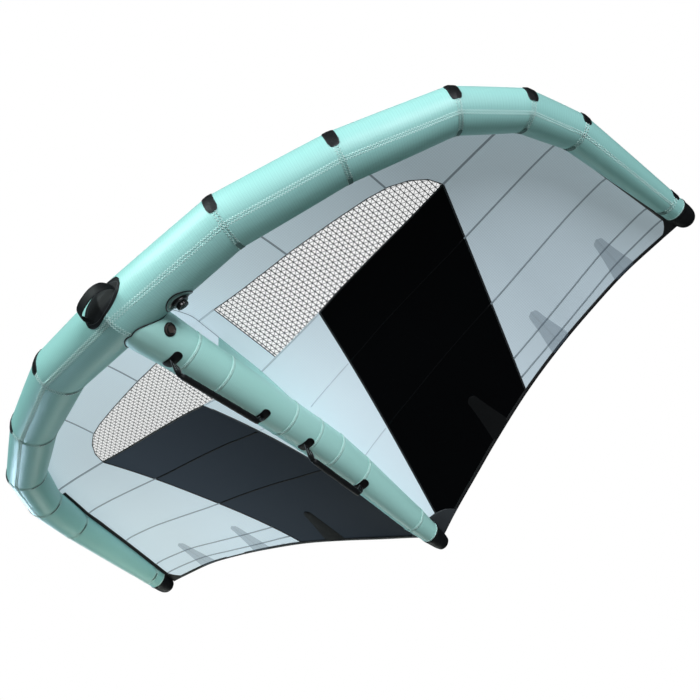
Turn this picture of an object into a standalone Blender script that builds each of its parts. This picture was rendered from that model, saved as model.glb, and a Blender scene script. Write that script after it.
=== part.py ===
"""Inflatable wing for wing foiling: a kinked leading edge tube, a strut hung under a fabric canopy,
two padded grips under the strut, a grab loop on the nose and two inflation valves.

+X is the wing's right side, +Y points to the trailing edge and +Z is up, with the rider below.
The origin is on the strut's underside between the two grips, where the rider's hands hold it up.
Positions are worked out from the middle of the leading edge tube, and the whole wing hangs on one
empty that carries them to that origin."""

import bisect
import math

import bmesh
import bpy
from mathutils import Vector
from mathutils.bvhtree import BVHTree

# Leading edge: the axis of the tube from the middle joint to the last joint near the tip
HALF_SPAN = 1.60
SWEEP = 1.40
RISE = 0.44
TUBE_RADIUS = 0.110
TIP_STUB = 0.070
TIP_CAP = 0.088
BOOT_WALL = 0.0015

# Each joint's place as shares of half span, sweep and rise, and its radius as a share
joint_shares = (
    (0, 0, 0, 1),
    (0.293, 0.043, 0.268, 0.973),
    (0.5525, 0.151, 0.509, 0.882),
    (0.786, 0.294, 0.755, 0.782),
    (0.8925, 0.446, 0.889, 0.718),
    (0.944, 0.612, 0.973, 0.645),
    (0.995, 0.996, 0.998, 0.455),
)

# Strut: set back along +Y, arched in the middle and dropping to the tail
STRUT_LENGTH = 1.79
STRUT_RADIUS = 0.088
STRUT_DROP = 0.108

# Each seam's place as a share of the length, its height as a share of the drop, and its radius
strut_shares = (
    (0.022, -0.05, 1.09),
    (0.06, -0.05, 1.09),
    (0.10, 0, 1.06),
    (0.18, 0.046, 0.99),
    (0.285, 0.065, 0.98),
    (0.48, 0.12, 0.885),
    (0.56, 0.13, 0.88),
    (0.637, 0.03, 0.89),
    (0.732, -0.25, 0.765),
    (0.905, -0.81, 0.62),
    (0.947, -0.91, 0.50),
)
strut_cap_shares = (
    (0.947, -0.91, 0.51),
    (0.955, -0.925, 0.50),
    (0.985, -0.98, 0.42),
    (0.996, -0.995, 0.36),
    (1, -1, 0.30),
)

# Cloth
CANOPY = 0.002
CAMBER = 0.16
HEM = 0.010
PATCH = 0.0015
CLEAR = 0.0003
SEWN_GAP = 0.0012
SHOULDER = 0.35
ATTACH_ANGLE = math.radians(60)
attach_shares = (1, 1, 1, 0.95, 0.8, 0.5, 0.2, 0.18, 0.15)
WEB_HEIGHT = 0.138
WEB_END = 0.45

# Height of the canopy over the strut's top: place as a share of the strut, height as a share
web_shares = (
    (0.084, 0.47),
    (0.168, 1),
    (0.21, 0.98),
    (0.255, 0.92),
    (0.298, 0.86),
    (0.384, 0.73),
    (0.456, 0.51),
    (0.56, 0.18),
    (0.637, 0),
    (0.732, 0),
    (0.905, 0),
    (0.955, 0),
    (0.985, 0),
    (1, 0.05),
)

# Camber and trailing edge across the span, as shares from the strut to the tip
camber_shares = (
    (0, 1),
    (0.2, 0.72),
    (0.3, 0.68),
    (0.55, 0.40),
    (0.65, 0.32),
    (0.81, 0.20),
    (0.94, 0.08),
    (1, 0),
)
trail_shares = (
    (0, 0, 0),
    (0.07, 0.15, 0.085),
    (0.18, 0.34, 0.22),
    (0.288, 0.52, 0.355),
    (0.435, 0.717, 0.535),
    (0.583, 0.86, 0.69),
    (0.70, 0.917, 0.81),
    (0.82, 0.943, 0.925),
    (0.943, 0.974, 0.985),
    (1, 1, 1),
)

# Seams of the canopy in plan
WINDOW_OUT = 1.03
SEAM_MIDDLE = 0.685
SEAM_OUT = 0.656
NOSE_SEAM = 0.345
PANEL_IN = 0.344
TAIL_HALF = 0.030
PANEL_TAIL = 0.681
CORNER = 0.050
rim_shares = (
    (0.083, 0.53),
    (0.30, 0.567),
    (0.433, 0.604),
    (0.64, 0.666),
    (0.777, 0.713),
    (0.859, 0.755),
    (0.927, 0.823),
    (0.976, 0.907),
    (1, 1),
)

# Batten pockets: the gap before each as a share of half span, and half widths from tip to base
BATTEN_LENGTH = 0.205
BATTEN_HALF = 0.043
BATTEN_WALL = 0.002
batten_gap_shares = (("inner", 0.31), ("middle", 0.263), ("outer", 0.236))
batten_half_shares = (0.10, 0.30, 0.34, 0.37, 0.41, 0.47, 0.56, 0.70, 1)
PATCH_HALF = 0.135
PATCH_DEPTH = 0.105

# Scuff pads over the joints of the leading edge
PAD_HALF = 0.021
PAD_WALL = 0.0025
PAD_MIDDLE = math.radians(189)
PAD_REACH = math.radians(36)

# Grips under the strut: where the patches sit along the strut, and where the bars run
GRIP_RADIUS = 0.011
GRIP_SETBACK = 0.81
STRAP_HALF = 0.012
STRAP_THICK = 0.002
STRUT_PATCH_HALF = 0.019
STRUT_PATCH_REACH = math.radians(28)
FRONT_GRIP_FROM = 0.235
FRONT_GRIP_TO = 0.680
FRONT_GRIP_HANG = 0.045
FRONT_GRIP_TAIL_HANG = 0.034
REAR_GRIP_FROM = 0.925
REAR_GRIP_TO = 1.250
REAR_GRIP_HANG = 0.052
REAR_GRIP_TAIL_HANG = 0.052
STRAP_LEAD = 0.045
STRAP_TAIL = 0.022

# Grab loop on the nose
LOOP_ANGLE = math.radians(210)
LOOP_SLANT = math.radians(14)
LOOP_HALF = 0.076
LOOP_HEIGHT = 0.060
LOOP_HALF_WIDTH = 0.014
LOOP_WALL = 0.004
LOOP_PATCH_HALF = 0.098
LOOP_PATCH_REACH = math.radians(18)

# Valves
VALVE_PLACE = 0.178
VALVE_ANGLE = math.radians(-42)
VALVE_FLANGE = 0.058
VALVE_BOSS = 0.030
VALVE_HEIGHT = 0.010
VALVE_CAP = 0.022
VALVE_CAP_HEIGHT = 0.016
VALVE_SEAT = 0.0008
PLUG_SETBACK = 0.152
PLUG_ANGLE = math.radians(31)
PLUG_FLANGE = 0.026
PLUG_BOSS = 0.022
PLUG_HEIGHT = 0.004
PLUG_CAP = 0.018
PLUG_CAP_HEIGHT = 0.006

# Counts
SIDES = 40
BOOT_SIDES = 32
VALVE_SIDES = 24
RIM_STEPS = 24
WINDOW_ROWS = 8
NOSE_ROWS = 6
PANEL_COLUMNS = 12
PANEL_ROWS = 14
TAIL_ROWS = 16

COLOURS = {
    "mint_cloth": ((0.30, 0.66, 0.62), 0.55),
    "black_rubber": ((0.012, 0.013, 0.015), 0.6),
    "grey_cloth": ((0.50, 0.58, 0.64), 0.6),
    "window_film": ((0.55, 0.60, 0.62), 0.3),
    "black_cloth": ((0.010, 0.012, 0.016), 0.6),
    "dark_cloth": ((0.035, 0.04, 0.045), 0.7),
    "black_webbing": ((0.015, 0.016, 0.018), 0.7),
    "black_plastic": ((0.02, 0.02, 0.022), 0.4),
}

for old in list(bpy.data.objects):
    bpy.data.objects.remove(old, do_unlink=True)

wing_collection = bpy.data.collections.new("wingfoil_wing")
cutter_collection = bpy.data.collections.new("cutters")
bpy.context.scene.collection.children.link(wing_collection)
bpy.context.scene.collection.children.link(cutter_collection)
cutter_collection.hide_render = True

wing = bpy.data.objects.new("wing_frame", None)
wing_collection.objects.link(wing)


def material_for(name, slot):
    """A Principled material of its own for each object, in the colour of its slot."""
    colour, roughness = COLOURS[slot]
    material = bpy.data.materials.new(name)
    material.use_nodes = True
    shader = material.node_tree.nodes["Principled BSDF"]
    shader.inputs["Base Color"].default_value = (*colour, 1)
    shader.inputs["Roughness"].default_value = roughness
    shader.inputs["Metallic"].default_value = 0
    return material


def object_from(name, bm, slot, origin=None):
    """Makes an object from a bmesh, with its origin at a point of the wing if one is given."""
    bmesh.ops.recalc_face_normals(bm, faces=bm.faces)
    mesh = bpy.data.meshes.new(name)
    if origin is not None:
        bmesh.ops.translate(bm, verts=bm.verts, vec=-origin)
    bm.to_mesh(mesh)
    bm.free()
    mesh.shade_smooth()
    mesh.set_sharp_from_angle(angle=math.radians(35))
    obj = bpy.data.objects.new(name, mesh)
    obj.parent = wing
    if origin is not None:
        obj.location = origin
    if slot is None:
        cutter_collection.objects.link(obj)
        obj.hide_render = True
        obj.display_type = "WIRE"
    else:
        wing_collection.objects.link(obj)
        mesh.materials.append(material_for(name, slot))
    return obj


def loft(rings):
    """A closed skin over rings of points that have the same count, with flat ends."""
    bm = bmesh.new()
    rows = [[bm.verts.new(point) for point in ring] for ring in rings]
    count = len(rows[0])
    for near, far in zip(rows, rows[1:]):
        for k in range(count):
            j = (k + 1) % count
            bm.faces.new((near[k], near[j], far[j], far[k]))
    bm.faces.new(rows[0])
    bm.faces.new(rows[-1])
    return bm


def sheet_mesh(columns, rows, place):
    """A grid whose points are moved to their places, open all round."""
    bm = bmesh.new()
    bmesh.ops.create_grid(bm, x_segments=columns, y_segments=rows, size=1)
    for vert in bm.verts:
        i = round((vert.co.x + 1) / 2 * columns)
        j = round((vert.co.y + 1) / 2 * rows)
        vert.co = place(i, j)
    return bm


def cloth(name, slot, columns, rows, place, thickness):
    """A sheet thickened straight up and down, so that its edges stand upright in plan."""
    bm = sheet_mesh(columns, rows, place)
    bmesh.ops.translate(bm, verts=bm.verts, vec=(0, 0, -thickness / 2))
    grown = bmesh.ops.extrude_face_region(bm, geom=bm.faces[:])
    risen = [item for item in grown["geom"] if isinstance(item, bmesh.types.BMVert)]
    bmesh.ops.translate(bm, verts=risen, vec=(0, 0, thickness))
    return object_from(name, bm, slot)


def wrapped(name, slot, columns, rows, inside, outside):
    """A patch on a tube, from the points of its inner face and those of its outer face."""
    bm = sheet_mesh(columns, rows, inside)
    grown = bmesh.ops.extrude_face_region(bm, geom=bm.faces[:])
    risen = [item for item in grown["geom"] if isinstance(item, bmesh.types.BMVert)]
    spots = {}
    for i in range(columns + 1):
        for j in range(rows + 1):
            spots[tuple(round(c, 6) for c in inside(i, j))] = outside(i, j)
    for vert in risen:
        vert.co = spots[tuple(round(c, 6) for c in vert.co)]
    return object_from(name, bm, slot)


def table_value(table, at, column):
    """Straight reading of a table whose first column rises."""
    keys = [row[0] for row in table]
    if at <= keys[0]:
        return table[0][column]
    if at >= keys[-1]:
        return table[-1][column]
    i = bisect.bisect_right(keys, at) - 1
    part = (at - keys[i]) / (keys[i + 1] - keys[i])
    return table[i][column] + (table[i + 1][column] - table[i][column]) * part


def eased_value(table, at, column):
    """Smooth reading of a table whose first column rises, through each of its points."""
    keys = [row[0] for row in table]
    values = [row[column] for row in table]
    if at <= keys[0]:
        return values[0]
    if at >= keys[-1]:
        return values[-1]
    i = bisect.bisect_right(keys, at) - 1

    def slope(k):
        low = max(k - 1, 0)
        high = min(k + 1, len(keys) - 1)
        return (values[high] - values[low]) / (keys[high] - keys[low])

    span = keys[i + 1] - keys[i]
    t = (at - keys[i]) / span
    start = (1 + 2 * t) * (1 - t) ** 2 * values[i] + t * (1 - t) ** 2 * span * slope(i)
    end = t * t * (3 - 2 * t) * values[i + 1] + t * t * (t - 1) * span * slope(i + 1)
    return start + end


# The leading edge's axis: seven joints, then the rim where the boot starts
joints = [Vector((HALF_SPAN * x, SWEEP * y, RISE * z)) for x, y, z, _ in joint_shares]
radii = [TUBE_RADIUS * share for *_, share in joint_shares]
last_run = (joints[-1] - joints[-2]).normalized()
taper = (radii[-1] - radii[-2]) / (joints[-1] - joints[-2]).length
joints.append(joints[-1] + last_run * TIP_STUB)
radii.append(radii[-1] + taper * TIP_STUB)
RIM = len(joints) - 1


def frame_at(i):
    """The seam plane's normal at a joint, with its rearward and upward directions."""
    if i == 0:
        normal = Vector((1, 0, 0))
        run = (joints[1] - joints[0]).normalized()
    elif i == RIM:
        normal = last_run
        run = last_run
    else:
        run = (joints[i + 1] - joints[i]).normalized()
        normal = (run + (joints[i] - joints[i - 1]).normalized()).normalized()
    rear = Vector((0, 0, 1)).cross(normal).normalized()
    return run, rear, normal.cross(rear)


frames = [frame_at(i) for i in range(len(joints))]


def ring_point(i, angle, off):
    """A point of the tube's skin in the seam plane of joint i, at a distance off the skin."""
    run, rear, up = frames[i]
    way = rear * math.cos(angle) + up * math.sin(angle)
    return joints[i] + way * ((radii[i] + off) / math.sqrt(1 - way.dot(run) ** 2))


def tube_point(place, angle, off):
    """A point on the tube: place 2.25 is a quarter of the way from joint 2 to joint 3."""
    i = min(int(place), RIM - 1)
    part = place - i
    return ring_point(i, angle, off).lerp(ring_point(i + 1, angle, off), part)


def mirrored(point, side):
    return Vector((point.x * side, point.y, point.z))


def sign_name(side):
    return "right" if side > 0 else "left"


turn = 2 * math.pi / SIDES

# Six tapering sections a side, cut at the seam planes, the last one running on to the rim
for side in (1, -1):
    for i in range(RIM - 1):
        end = i + 1 if i < RIM - 2 else RIM
        run = (joints[end] - joints[i]).normalized()
        rings = []
        for at, shift in ((i, CLEAR / 2), (end, -CLEAR / 2)):
            ring = [ring_point(at, k * turn, 0) + run * shift for k in range(SIDES)]
            rings.append([mirrored(point, side) for point in ring])
        object_from(f"edge_{i + 1}_{sign_name(side)}", loft(rings), "mint_cloth")

# Rubber boot over each tip, with a rounded end: shares of its length and of its radius
boot_shares = ((0, 1), (0.30, 0.98), (0.55, 0.93), (0.75, 0.83), (0.90, 0.64), (0.97, 0.42), (1, 0.20))
boot_radius = radii[RIM] + BOOT_WALL
boot_start = joints[RIM] + last_run * CLEAR
boot_turn = 2 * math.pi / BOOT_SIDES
for side in (1, -1):
    run, rear, up = frames[RIM]
    rings = []
    for along, wide in boot_shares:
        centre = boot_start + last_run * (TIP_CAP * along)
        ring = [
            centre + (rear * math.cos(k * boot_turn) + up * math.sin(k * boot_turn)) * (boot_radius * wide)
            for k in range(BOOT_SIDES)
        ]
        rings.append([mirrored(point, side) for point in ring])
    object_from(f"tip_boot_{sign_name(side)}", loft(rings), "black_rubber")

# Scuff pads over the front of each joint, following the tube on both sides of the kink
pad_steps = round(2 * PAD_REACH / turn)
pad_from = round((PAD_MIDDLE - PAD_REACH) / turn)
for side in (1, -1):
    for i in range(1, RIM):
        before = (joints[i] - joints[i - 1]).length
        after = (joints[i + 1] - joints[i]).length

        def pad_point(column, row, off, i=i, side=side, before=before, after=after):
            angle = (pad_from + row) * turn
            edge = abs(row / pad_steps * 2 - 1)
            half = PAD_HALF * (1 - 0.35 * max(edge - 0.6, 0) / 0.4)
            reach = (column - 1) * half
            place = i + (reach / after if reach > 0 else reach / before)
            return mirrored(tube_point(place, angle, off), side)

        wrapped(
            f"scuff_pad_{i}_{sign_name(side)}",
            "black_rubber",
            2,
            pad_steps,
            lambda c, r, f=pad_point: f(c, r, CLEAR),
            lambda c, r, f=pad_point: f(c, r, CLEAR + PAD_WALL),
        )


# Strut
def strut_ring(share_row, off=0, sides=SIDES):
    along, lift, wide = share_row
    centre = Vector((0, STRUT_LENGTH * along, STRUT_DROP * lift))
    reach = STRUT_RADIUS * wide + off
    return [
        centre + Vector((math.sin(k * 2 * math.pi / sides), 0, -math.cos(k * 2 * math.pi / sides))) * reach
        for k in range(sides)
    ]


def strut_centre(y):
    share = y / STRUT_LENGTH
    table = strut_shares + strut_cap_shares[1:]
    return STRUT_DROP * table_value(table, share, 1), STRUT_RADIUS * table_value(table, share, 2)


def strut_point(y, angle, off):
    """A point on the strut's skin: angle 0 is its underside, and 90 degrees its right side."""
    height, radius = strut_centre(y)
    return Vector((math.sin(angle), 0, -math.cos(angle))) * (radius + off) + Vector((0, y, height))


strut = object_from("strut", loft([strut_ring(row) for row in strut_shares]), "mint_cloth")
saddle_rings = []
for i, side in ((1, -1), (0, 1), (1, 1)):
    saddle_rings.append([mirrored(ring_point(i, k * turn, CLEAR), side) for k in range(SIDES)])
saddle = object_from("strut_saddle_cutter", loft(saddle_rings), None)
cut = strut.modifiers.new("saddle", "BOOLEAN")
cut.operation = "DIFFERENCE"
cut.object = saddle

cap_rings = [strut_ring(row) for row in strut_cap_shares]
cap_rings[0] = [point + Vector((0, CLEAR, 0)) for point in cap_rings[0]]
object_from("strut_end_cap", loft(cap_rings), "black_rubber")

# The canopy's surface, as a height over each point of the plan
canopy_off = 2 * CLEAR + CANOPY / 2
attach = [ring_point(i, ATTACH_ANGLE * attach_shares[i], canopy_off) for i in range(RIM)]
run, rear, up = frames[RIM]
rim_angle = ATTACH_ANGLE * attach_shares[RIM]
attach_way = rear * math.cos(rim_angle) + up * math.sin(rim_angle)
attach.append(joints[RIM] + attach_way * (boot_radius + canopy_off))
corner_angle = ATTACH_ANGLE * attach_shares[-1]
corner_way = rear * math.cos(corner_angle) + up * math.sin(corner_angle)
corner_at = boot_start + last_run * (TIP_CAP * boot_shares[3][0])
attach.append(corner_at + corner_way * (boot_radius * boot_shares[2][1] + canopy_off))
CORNER_PLACE = len(attach) - 1
tip = attach[-1]
crest = CLEAR + SEWN_GAP + PATCH + CANOPY / 2


def edge_point(place):
    i = min(int(place), CORNER_PLACE - 1)
    return attach[i].lerp(attach[i + 1], place - i)


def strut_top(y):
    height, radius = strut_centre(y)
    return height + radius


centre_table = [(attach[0].y, attach[0].z)]
for along, high in web_shares:
    y = STRUT_LENGTH * along
    centre_table.append((y, strut_top(y) + crest + WEB_HEIGHT * high))
tail_height = centre_table[-1][1]
front_table = [tuple(point) for point in attach]


def trail(x):
    """The trailing edge's setback and height at a distance from the strut."""
    share = abs(x) / tip.x
    y = STRUT_LENGTH + (tip.y - STRUT_LENGTH) * eased_value(trail_shares, share, 1)
    z = tail_height + (tip.z - tail_height) * eased_value(trail_shares, share, 2)
    return y, z


def chord_share(x, y):
    """How far back a point lies between the leading edge and the trailing edge."""
    front_y = table_value(front_table, x, 1)
    rear_y, _ = trail(x)
    chord = max(rear_y - front_y, HEM)
    return min(max((y - front_y) / chord, 0), 1)


def plain_height(x, t):
    front_z = table_value(front_table, x, 2)
    _, rear_z = trail(x)
    crown = t**0.65 * (1 - t) ** 0.9 / 0.347
    rise = CAMBER * eased_value(camber_shares, x / tip.x, 1) * crown
    return front_z + (rear_z - front_z) * t + rise


def canopy_height(x, y):
    x = abs(x)
    t = chord_share(x, y)
    height = plain_height(x, t)
    if x < SHOULDER:
        middle_y = attach[0].y + t * (STRUT_LENGTH - attach[0].y)
        pull = (1 - x / SHOULDER) ** 2
        height += pull * (eased_value(centre_table, middle_y, 1) - plain_height(0, t))
    return height


def canopy_point(plan):
    return Vector((plan[0], plan[1], canopy_height(plan[0], plan[1])))


def line(start, end, steps):
    return [
        (start[0] + (end[0] - start[0]) * k / steps, start[1] + (end[1] - start[1]) * k / steps)
        for k in range(steps + 1)
    ]


def evenly(points, steps):
    """Points at even distances along a plan outline."""
    lengths = [0]
    for a, b in zip(points, points[1:]):
        lengths.append(lengths[-1] + math.hypot(b[0] - a[0], b[1] - a[1]))
    table = [(length, *point) for length, point in zip(lengths, points)]
    return [
        (
            table_value(table, lengths[-1] * k / steps, 1),
            table_value(table, lengths[-1] * k / steps, 2),
        )
        for k in range(steps + 1)
    ]


def edge_run(places, counts):
    """Plan points along the leading edge, with each joint among them."""
    found = [edge_point(places[0])]
    for a, b, steps in zip(places, places[1:], counts):
        for k in range(steps):
            found.append(edge_point(a + (b - a) * (k + 1) / steps))
    return [(point.x, point.y) for point in found]


def inset(points, near):
    """Moves an outline half a clearance towards its neighbours."""
    moved = []
    for a, b in zip(points, near):
        way = Vector((b[0] - a[0], b[1] - a[1]))
        moved.append((a[0] + way.x / way.length * CLEAR / 2, a[1] + way.y / way.length * CLEAR / 2))
    return moved


def panel_grid(front, back, left, right, seams):
    """Plan places of a four-sided panel, drawn in at each side that is a seam."""
    columns = len(front) - 1
    rows = len(left) - 1
    grid = {}
    for i in range(columns + 1):
        for j in range(rows + 1):
            u = i / columns
            v = j / rows
            place = []
            for axis in (0, 1):
                ruled = (1 - v) * front[i][axis] + v * back[i][axis]
                ruled += (1 - u) * left[j][axis] + u * right[j][axis]
                ruled -= (1 - u) * (1 - v) * front[0][axis] + u * (1 - v) * front[-1][axis]
                ruled -= (1 - u) * v * back[0][axis] + u * v * back[-1][axis]
                place.append(ruled)
            grid[i, j] = tuple(place)
    sides = {
        "front": ([(i, 0) for i in range(columns + 1)], [(i, 1) for i in range(columns + 1)]),
        "back": ([(i, rows) for i in range(columns + 1)], [(i, rows - 1) for i in range(columns + 1)]),
        "left": ([(0, j) for j in range(rows + 1)], [(1, j) for j in range(rows + 1)]),
        "right": ([(columns, j) for j in range(rows + 1)], [(columns - 1, j) for j in range(rows + 1)]),
    }
    for seam in seams:
        at, near = sides[seam]
        moved = inset([grid[key] for key in at], [grid[key] for key in near])
        for key, place in zip(at, moved):
            grid[key] = place
    return grid, columns, rows


def panel(name, slot, outline, seams, side=1):
    grid, columns, rows = panel_grid(*outline, seams)
    return cloth(
        name,
        slot,
        columns,
        rows,
        lambda i, j: mirrored(canopy_point(grid[i, j]), side),
        CANOPY,
    )


def seam_place(x):
    """The long seam across the canopy, behind the windows."""
    return (x, SEAM_MIDDLE + (SEAM_OUT - SEAM_MIDDLE) * abs(x) / WINDOW_OUT)


def hem_place(x):
    return (x, trail(x)[0] - HEM)


def trail_place(x):
    return (x, trail(x)[0])


# Where the long seam meets the leading edge
seam_end = 4.0
for _ in range(40):
    point = edge_point(seam_end)
    seam_end += (SEAM_OUT - point.y) / (attach[5].y - attach[4].y)

rim = evenly([(WINDOW_OUT * x, SEAM_OUT * y) for x, y in rim_shares], RIM_STEPS)
window_corner = rim[-1]
nose_middle = (0, NOSE_SEAM)
front_steps = RIM_STEPS - WINDOW_ROWS
window_left = line(rim[0], seam_place(rim[0][0]), WINDOW_ROWS)
window_back = line(window_left[-1], window_corner, front_steps)
panel_front = line(seam_place(PANEL_IN), window_corner, PANEL_COLUMNS)
panel_left = line(seam_place(PANEL_IN), hem_place(TAIL_HALF), PANEL_ROWS)
panel_right = line(window_corner, hem_place(PANEL_TAIL), PANEL_ROWS)
tail_steps = [TAIL_HALF + (PANEL_TAIL - TAIL_HALF) * k / PANEL_COLUMNS for k in range(PANEL_COLUMNS + 1)]
corner_x = tip.x - CORNER
outer_count = PANEL_COLUMNS - 2
outer_steps = [PANEL_TAIL + (corner_x - PANEL_TAIL) * k / outer_count for k in range(outer_count + 1)]
corner_front = edge_point(RIM)
corner_middle = (
    (hem_place(corner_x)[0] + corner_front.x) / 2,
    (hem_place(corner_x)[1] + corner_front.y) / 2 + HEM / 2,
)
outer_back = [hem_place(x) for x in outer_steps] + [corner_middle, (corner_front.x, corner_front.y)]
outer_right = edge_run((seam_end, 5, 6, RIM), (4, 8, 2))

for side in (1, -1):
    name = sign_name(side)
    nose = (
        edge_run((0, 1, 2, 3, 4, seam_end), (8, 7, 6, 3, 1)),
        [nose_middle] + rim,
        line((attach[0].x, attach[0].y), nose_middle, NOSE_ROWS),
        line(edge_run((seam_end, 5), (1,))[0], window_corner, NOSE_ROWS),
    )
    panel(f"canopy_nose_{name}", "grey_cloth", nose, ("back", "left", "right"), side)
    window = (rim[: front_steps + 1], window_back, window_left, rim[front_steps:])
    panel(f"canopy_window_{name}", "window_film", window, ("front", "back", "left", "right"), side)
    dark = (panel_front, [hem_place(x) for x in tail_steps], panel_left, panel_right)
    panel(f"canopy_dark_{name}", "black_cloth", dark, ("front", "back", "left", "right"), side)
    outer = (
        line(window_corner, (outer_right[0][0], outer_right[0][1]), PANEL_COLUMNS),
        outer_back,
        panel_right,
        outer_right,
    )
    panel(f"canopy_outer_{name}", "grey_cloth", outer, ("front", "back", "left"), side)


def both_sides(points):
    """A row of plan points from the left side through the middle to the right side."""
    return [(-x, y) for x, y in reversed(points)] + list(points[1:])


strip_front = both_sides([nose_middle, rim[0]])
strip_back = both_sides([seam_place(0), seam_place(rim[0][0])])
strip_left = [(-x, y) for x, y in window_left]
strip = (strip_front, strip_back, strip_left, window_left)
panel("canopy_strip", "grey_cloth", strip, ("front", "back", "left", "right"))

tail_front = both_sides(line(seam_place(0), seam_place(PANEL_IN), 6))
tail_back = both_sides([hem_place(TAIL_HALF * k / 6) for k in range(7)])
tail_right = line(seam_place(PANEL_IN), hem_place(TAIL_HALF), TAIL_ROWS)
tail = (tail_front, tail_back, [(-x, y) for x, y in tail_right], tail_right)
panel("canopy_tail", "grey_cloth", tail, ("front", "back", "left", "right"))

# Hem along the trailing edge, widening to a corner patch at each tip
hem_front = [hem_place(TAIL_HALF * k / 6) for k in range(7)]
hem_front += [hem_place(x) for x in tail_steps[1:]]
hem_front += outer_back[1:]
hem_back = [trail_place(x) for x, _ in hem_front[:-2]]
hem_back += [trail_place((corner_x + tip.x) / 2), (tip.x, tip.y)]
hem_front = both_sides(hem_front)
hem_back = both_sides(hem_back)
hem_ends = (line(hem_front[0], hem_back[0], 2), line(hem_front[-1], hem_back[-1], 2))
panel("trailing_hem", "black_webbing", (hem_front, hem_back, *hem_ends), ("front", "left", "right"))

# Web between strut and canopy at the front, and the strut's own flap behind it
centre_rows = [(y, canopy_height(0, y)) for _, y in nose[2]]
centre_rows += [(y, canopy_height(0, y)) for _, y in line(nose_middle, seam_place(0), WINDOW_ROWS)[1:]]
centre_rows += [(y, canopy_height(0, y)) for _, y in line(seam_place(0), hem_place(0), TAIL_ROWS)[1:]]


def fin_columns(start, end):
    inner = [y for y, _ in centre_rows if start + HEM < y < end - HEM]
    rows = [STRUT_LENGTH * row[0] for row in strut_shares]
    inner += [y for y in rows if start + HEM < y < end - HEM]
    return sorted({start, end, *inner})


def fin(name, slot, start, end):
    """An upright sheet on the middle plane from the strut's top to just under the canopy."""
    stations = fin_columns(start, end)
    steps = len(stations) - 1

    def place(i, j, side):
        y = stations[i]
        low = strut_top(y) + CLEAR
        high = table_value(centre_rows, y, 1) - CANOPY / 2 - CLEAR
        return Vector((side * CANOPY / 2, y, low + (high - low) * j / 2))

    return wrapped(name, slot, steps, 2, lambda i, j: place(i, j, -1), lambda i, j: place(i, j, 1))


web_start = radii[0] + HEM
flap_end = STRUT_LENGTH * web_shares[7][0]
fin("strut_web", "grey_cloth", web_start, WEB_END - CLEAR / 2)
fin("strut_flap", "mint_cloth", WEB_END + CLEAR / 2, flap_end)


# Batten pockets and the tail patch lie on the canopy's underside, seated on the panels above
sewn_points = []
sewn_faces = []
for obj in wing_collection.objects:
    if obj.type == "MESH" and obj.name.startswith(("canopy_", "trailing_")):
        obj.data.calc_loop_triangles()
        first = len(sewn_points)
        sewn_points += [vert.co.copy() for vert in obj.data.vertices]
        sewn_faces += [[first + k for k in face.vertices] for face in obj.data.loop_triangles]
sewn = BVHTree.FromPolygons(sewn_points, sewn_faces)


def under_canopy(x, y):
    """The height of the cloth's lower face over a point of the plan."""
    start = Vector((x, y, canopy_height(x, y) - TUBE_RADIUS))
    hit, _, _, _ = sewn.ray_cast(start, Vector((0, 0, 1)), TUBE_RADIUS * 2)
    return hit.z if hit else canopy_height(x, y) - CANOPY / 2


def nearest_rise(spots, heights, columns, rows):
    """How far the patch's own facets rise above the cloth's between their corners."""
    most = 0
    for i in range(columns):
        for j in range(rows):
            corners = [(i, j), (i + 1, j), (i + 1, j + 1), (i, j + 1)]
            for a, b, c in ((0, 1, 2), (0, 2, 3), (1, 2, 3), (1, 3, 0)):
                keys = [corners[a], corners[b], corners[c]]
                for wa in range(6):
                    for wb in range(6 - wa):
                        shares = (wa / 5, wb / 5, (5 - wa - wb) / 5)
                        x = sum(share * spots[key][0] for share, key in zip(shares, keys))
                        y = sum(share * spots[key][1] for share, key in zip(shares, keys))
                        z = sum(share * heights[key] for share, key in zip(shares, keys))
                        most = max(most, z - under_canopy(x, y))
    return most


def underlay(name, columns, rows, plan, wall):
    """A flat patch hung just under the cloth over a grid of plan places."""
    spots = {(i, j): plan(i, j) for i in range(columns + 1) for j in range(rows + 1)}
    heights = {key: under_canopy(*spot) for key, spot in spots.items()}
    gap = CLEAR + nearest_rise(spots, heights, columns, rows)

    def place(i, j, off):
        x, y = spots[i, j]
        return Vector((x, y, heights[i, j] - off))

    return wrapped(
        name,
        "dark_cloth",
        columns,
        rows,
        lambda i, j: place(i, j, gap),
        lambda i, j: place(i, j, gap + wall),
    )


batten_rows = len(batten_half_shares) - 1
batten_columns = 4
for side in (1, -1):
    along = 0
    for label, gap_share in batten_gap_shares:
        along += gap_share

        def pocket(i, j, x=HALF_SPAN * along, side=side):
            across = x + (i / batten_columns * 2 - 1) * BATTEN_HALF * batten_half_shares[j]
            base = trail(across)[0] - HEM
            tip_y = trail(x)[0] - HEM - BATTEN_LENGTH
            return side * across, tip_y + (base - tip_y) * j / batten_rows

        underlay(f"batten_{label}_{sign_name(side)}", batten_columns, batten_rows, pocket, BATTEN_WALL)

# Patch where the canopy is sewn to the tail of the strut, with an arched front edge
patch_columns = 12


def tail_patch(i, j):
    u = i / patch_columns * 2 - 1
    x = u * PATCH_HALF
    back = trail(x)[0] - CLEAR
    front = STRUT_LENGTH - HEM - PATCH_DEPTH * math.sqrt(1 - min(abs(u), 0.96) ** 2)
    front = min(front, back - HEM / 2)
    return x, front + (back - front) * j / 6


underlay("tail_patch", patch_columns, 6, tail_patch, PATCH)

# Patches round the strut that carry the ends of the grips
patch_turns = 14


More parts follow.
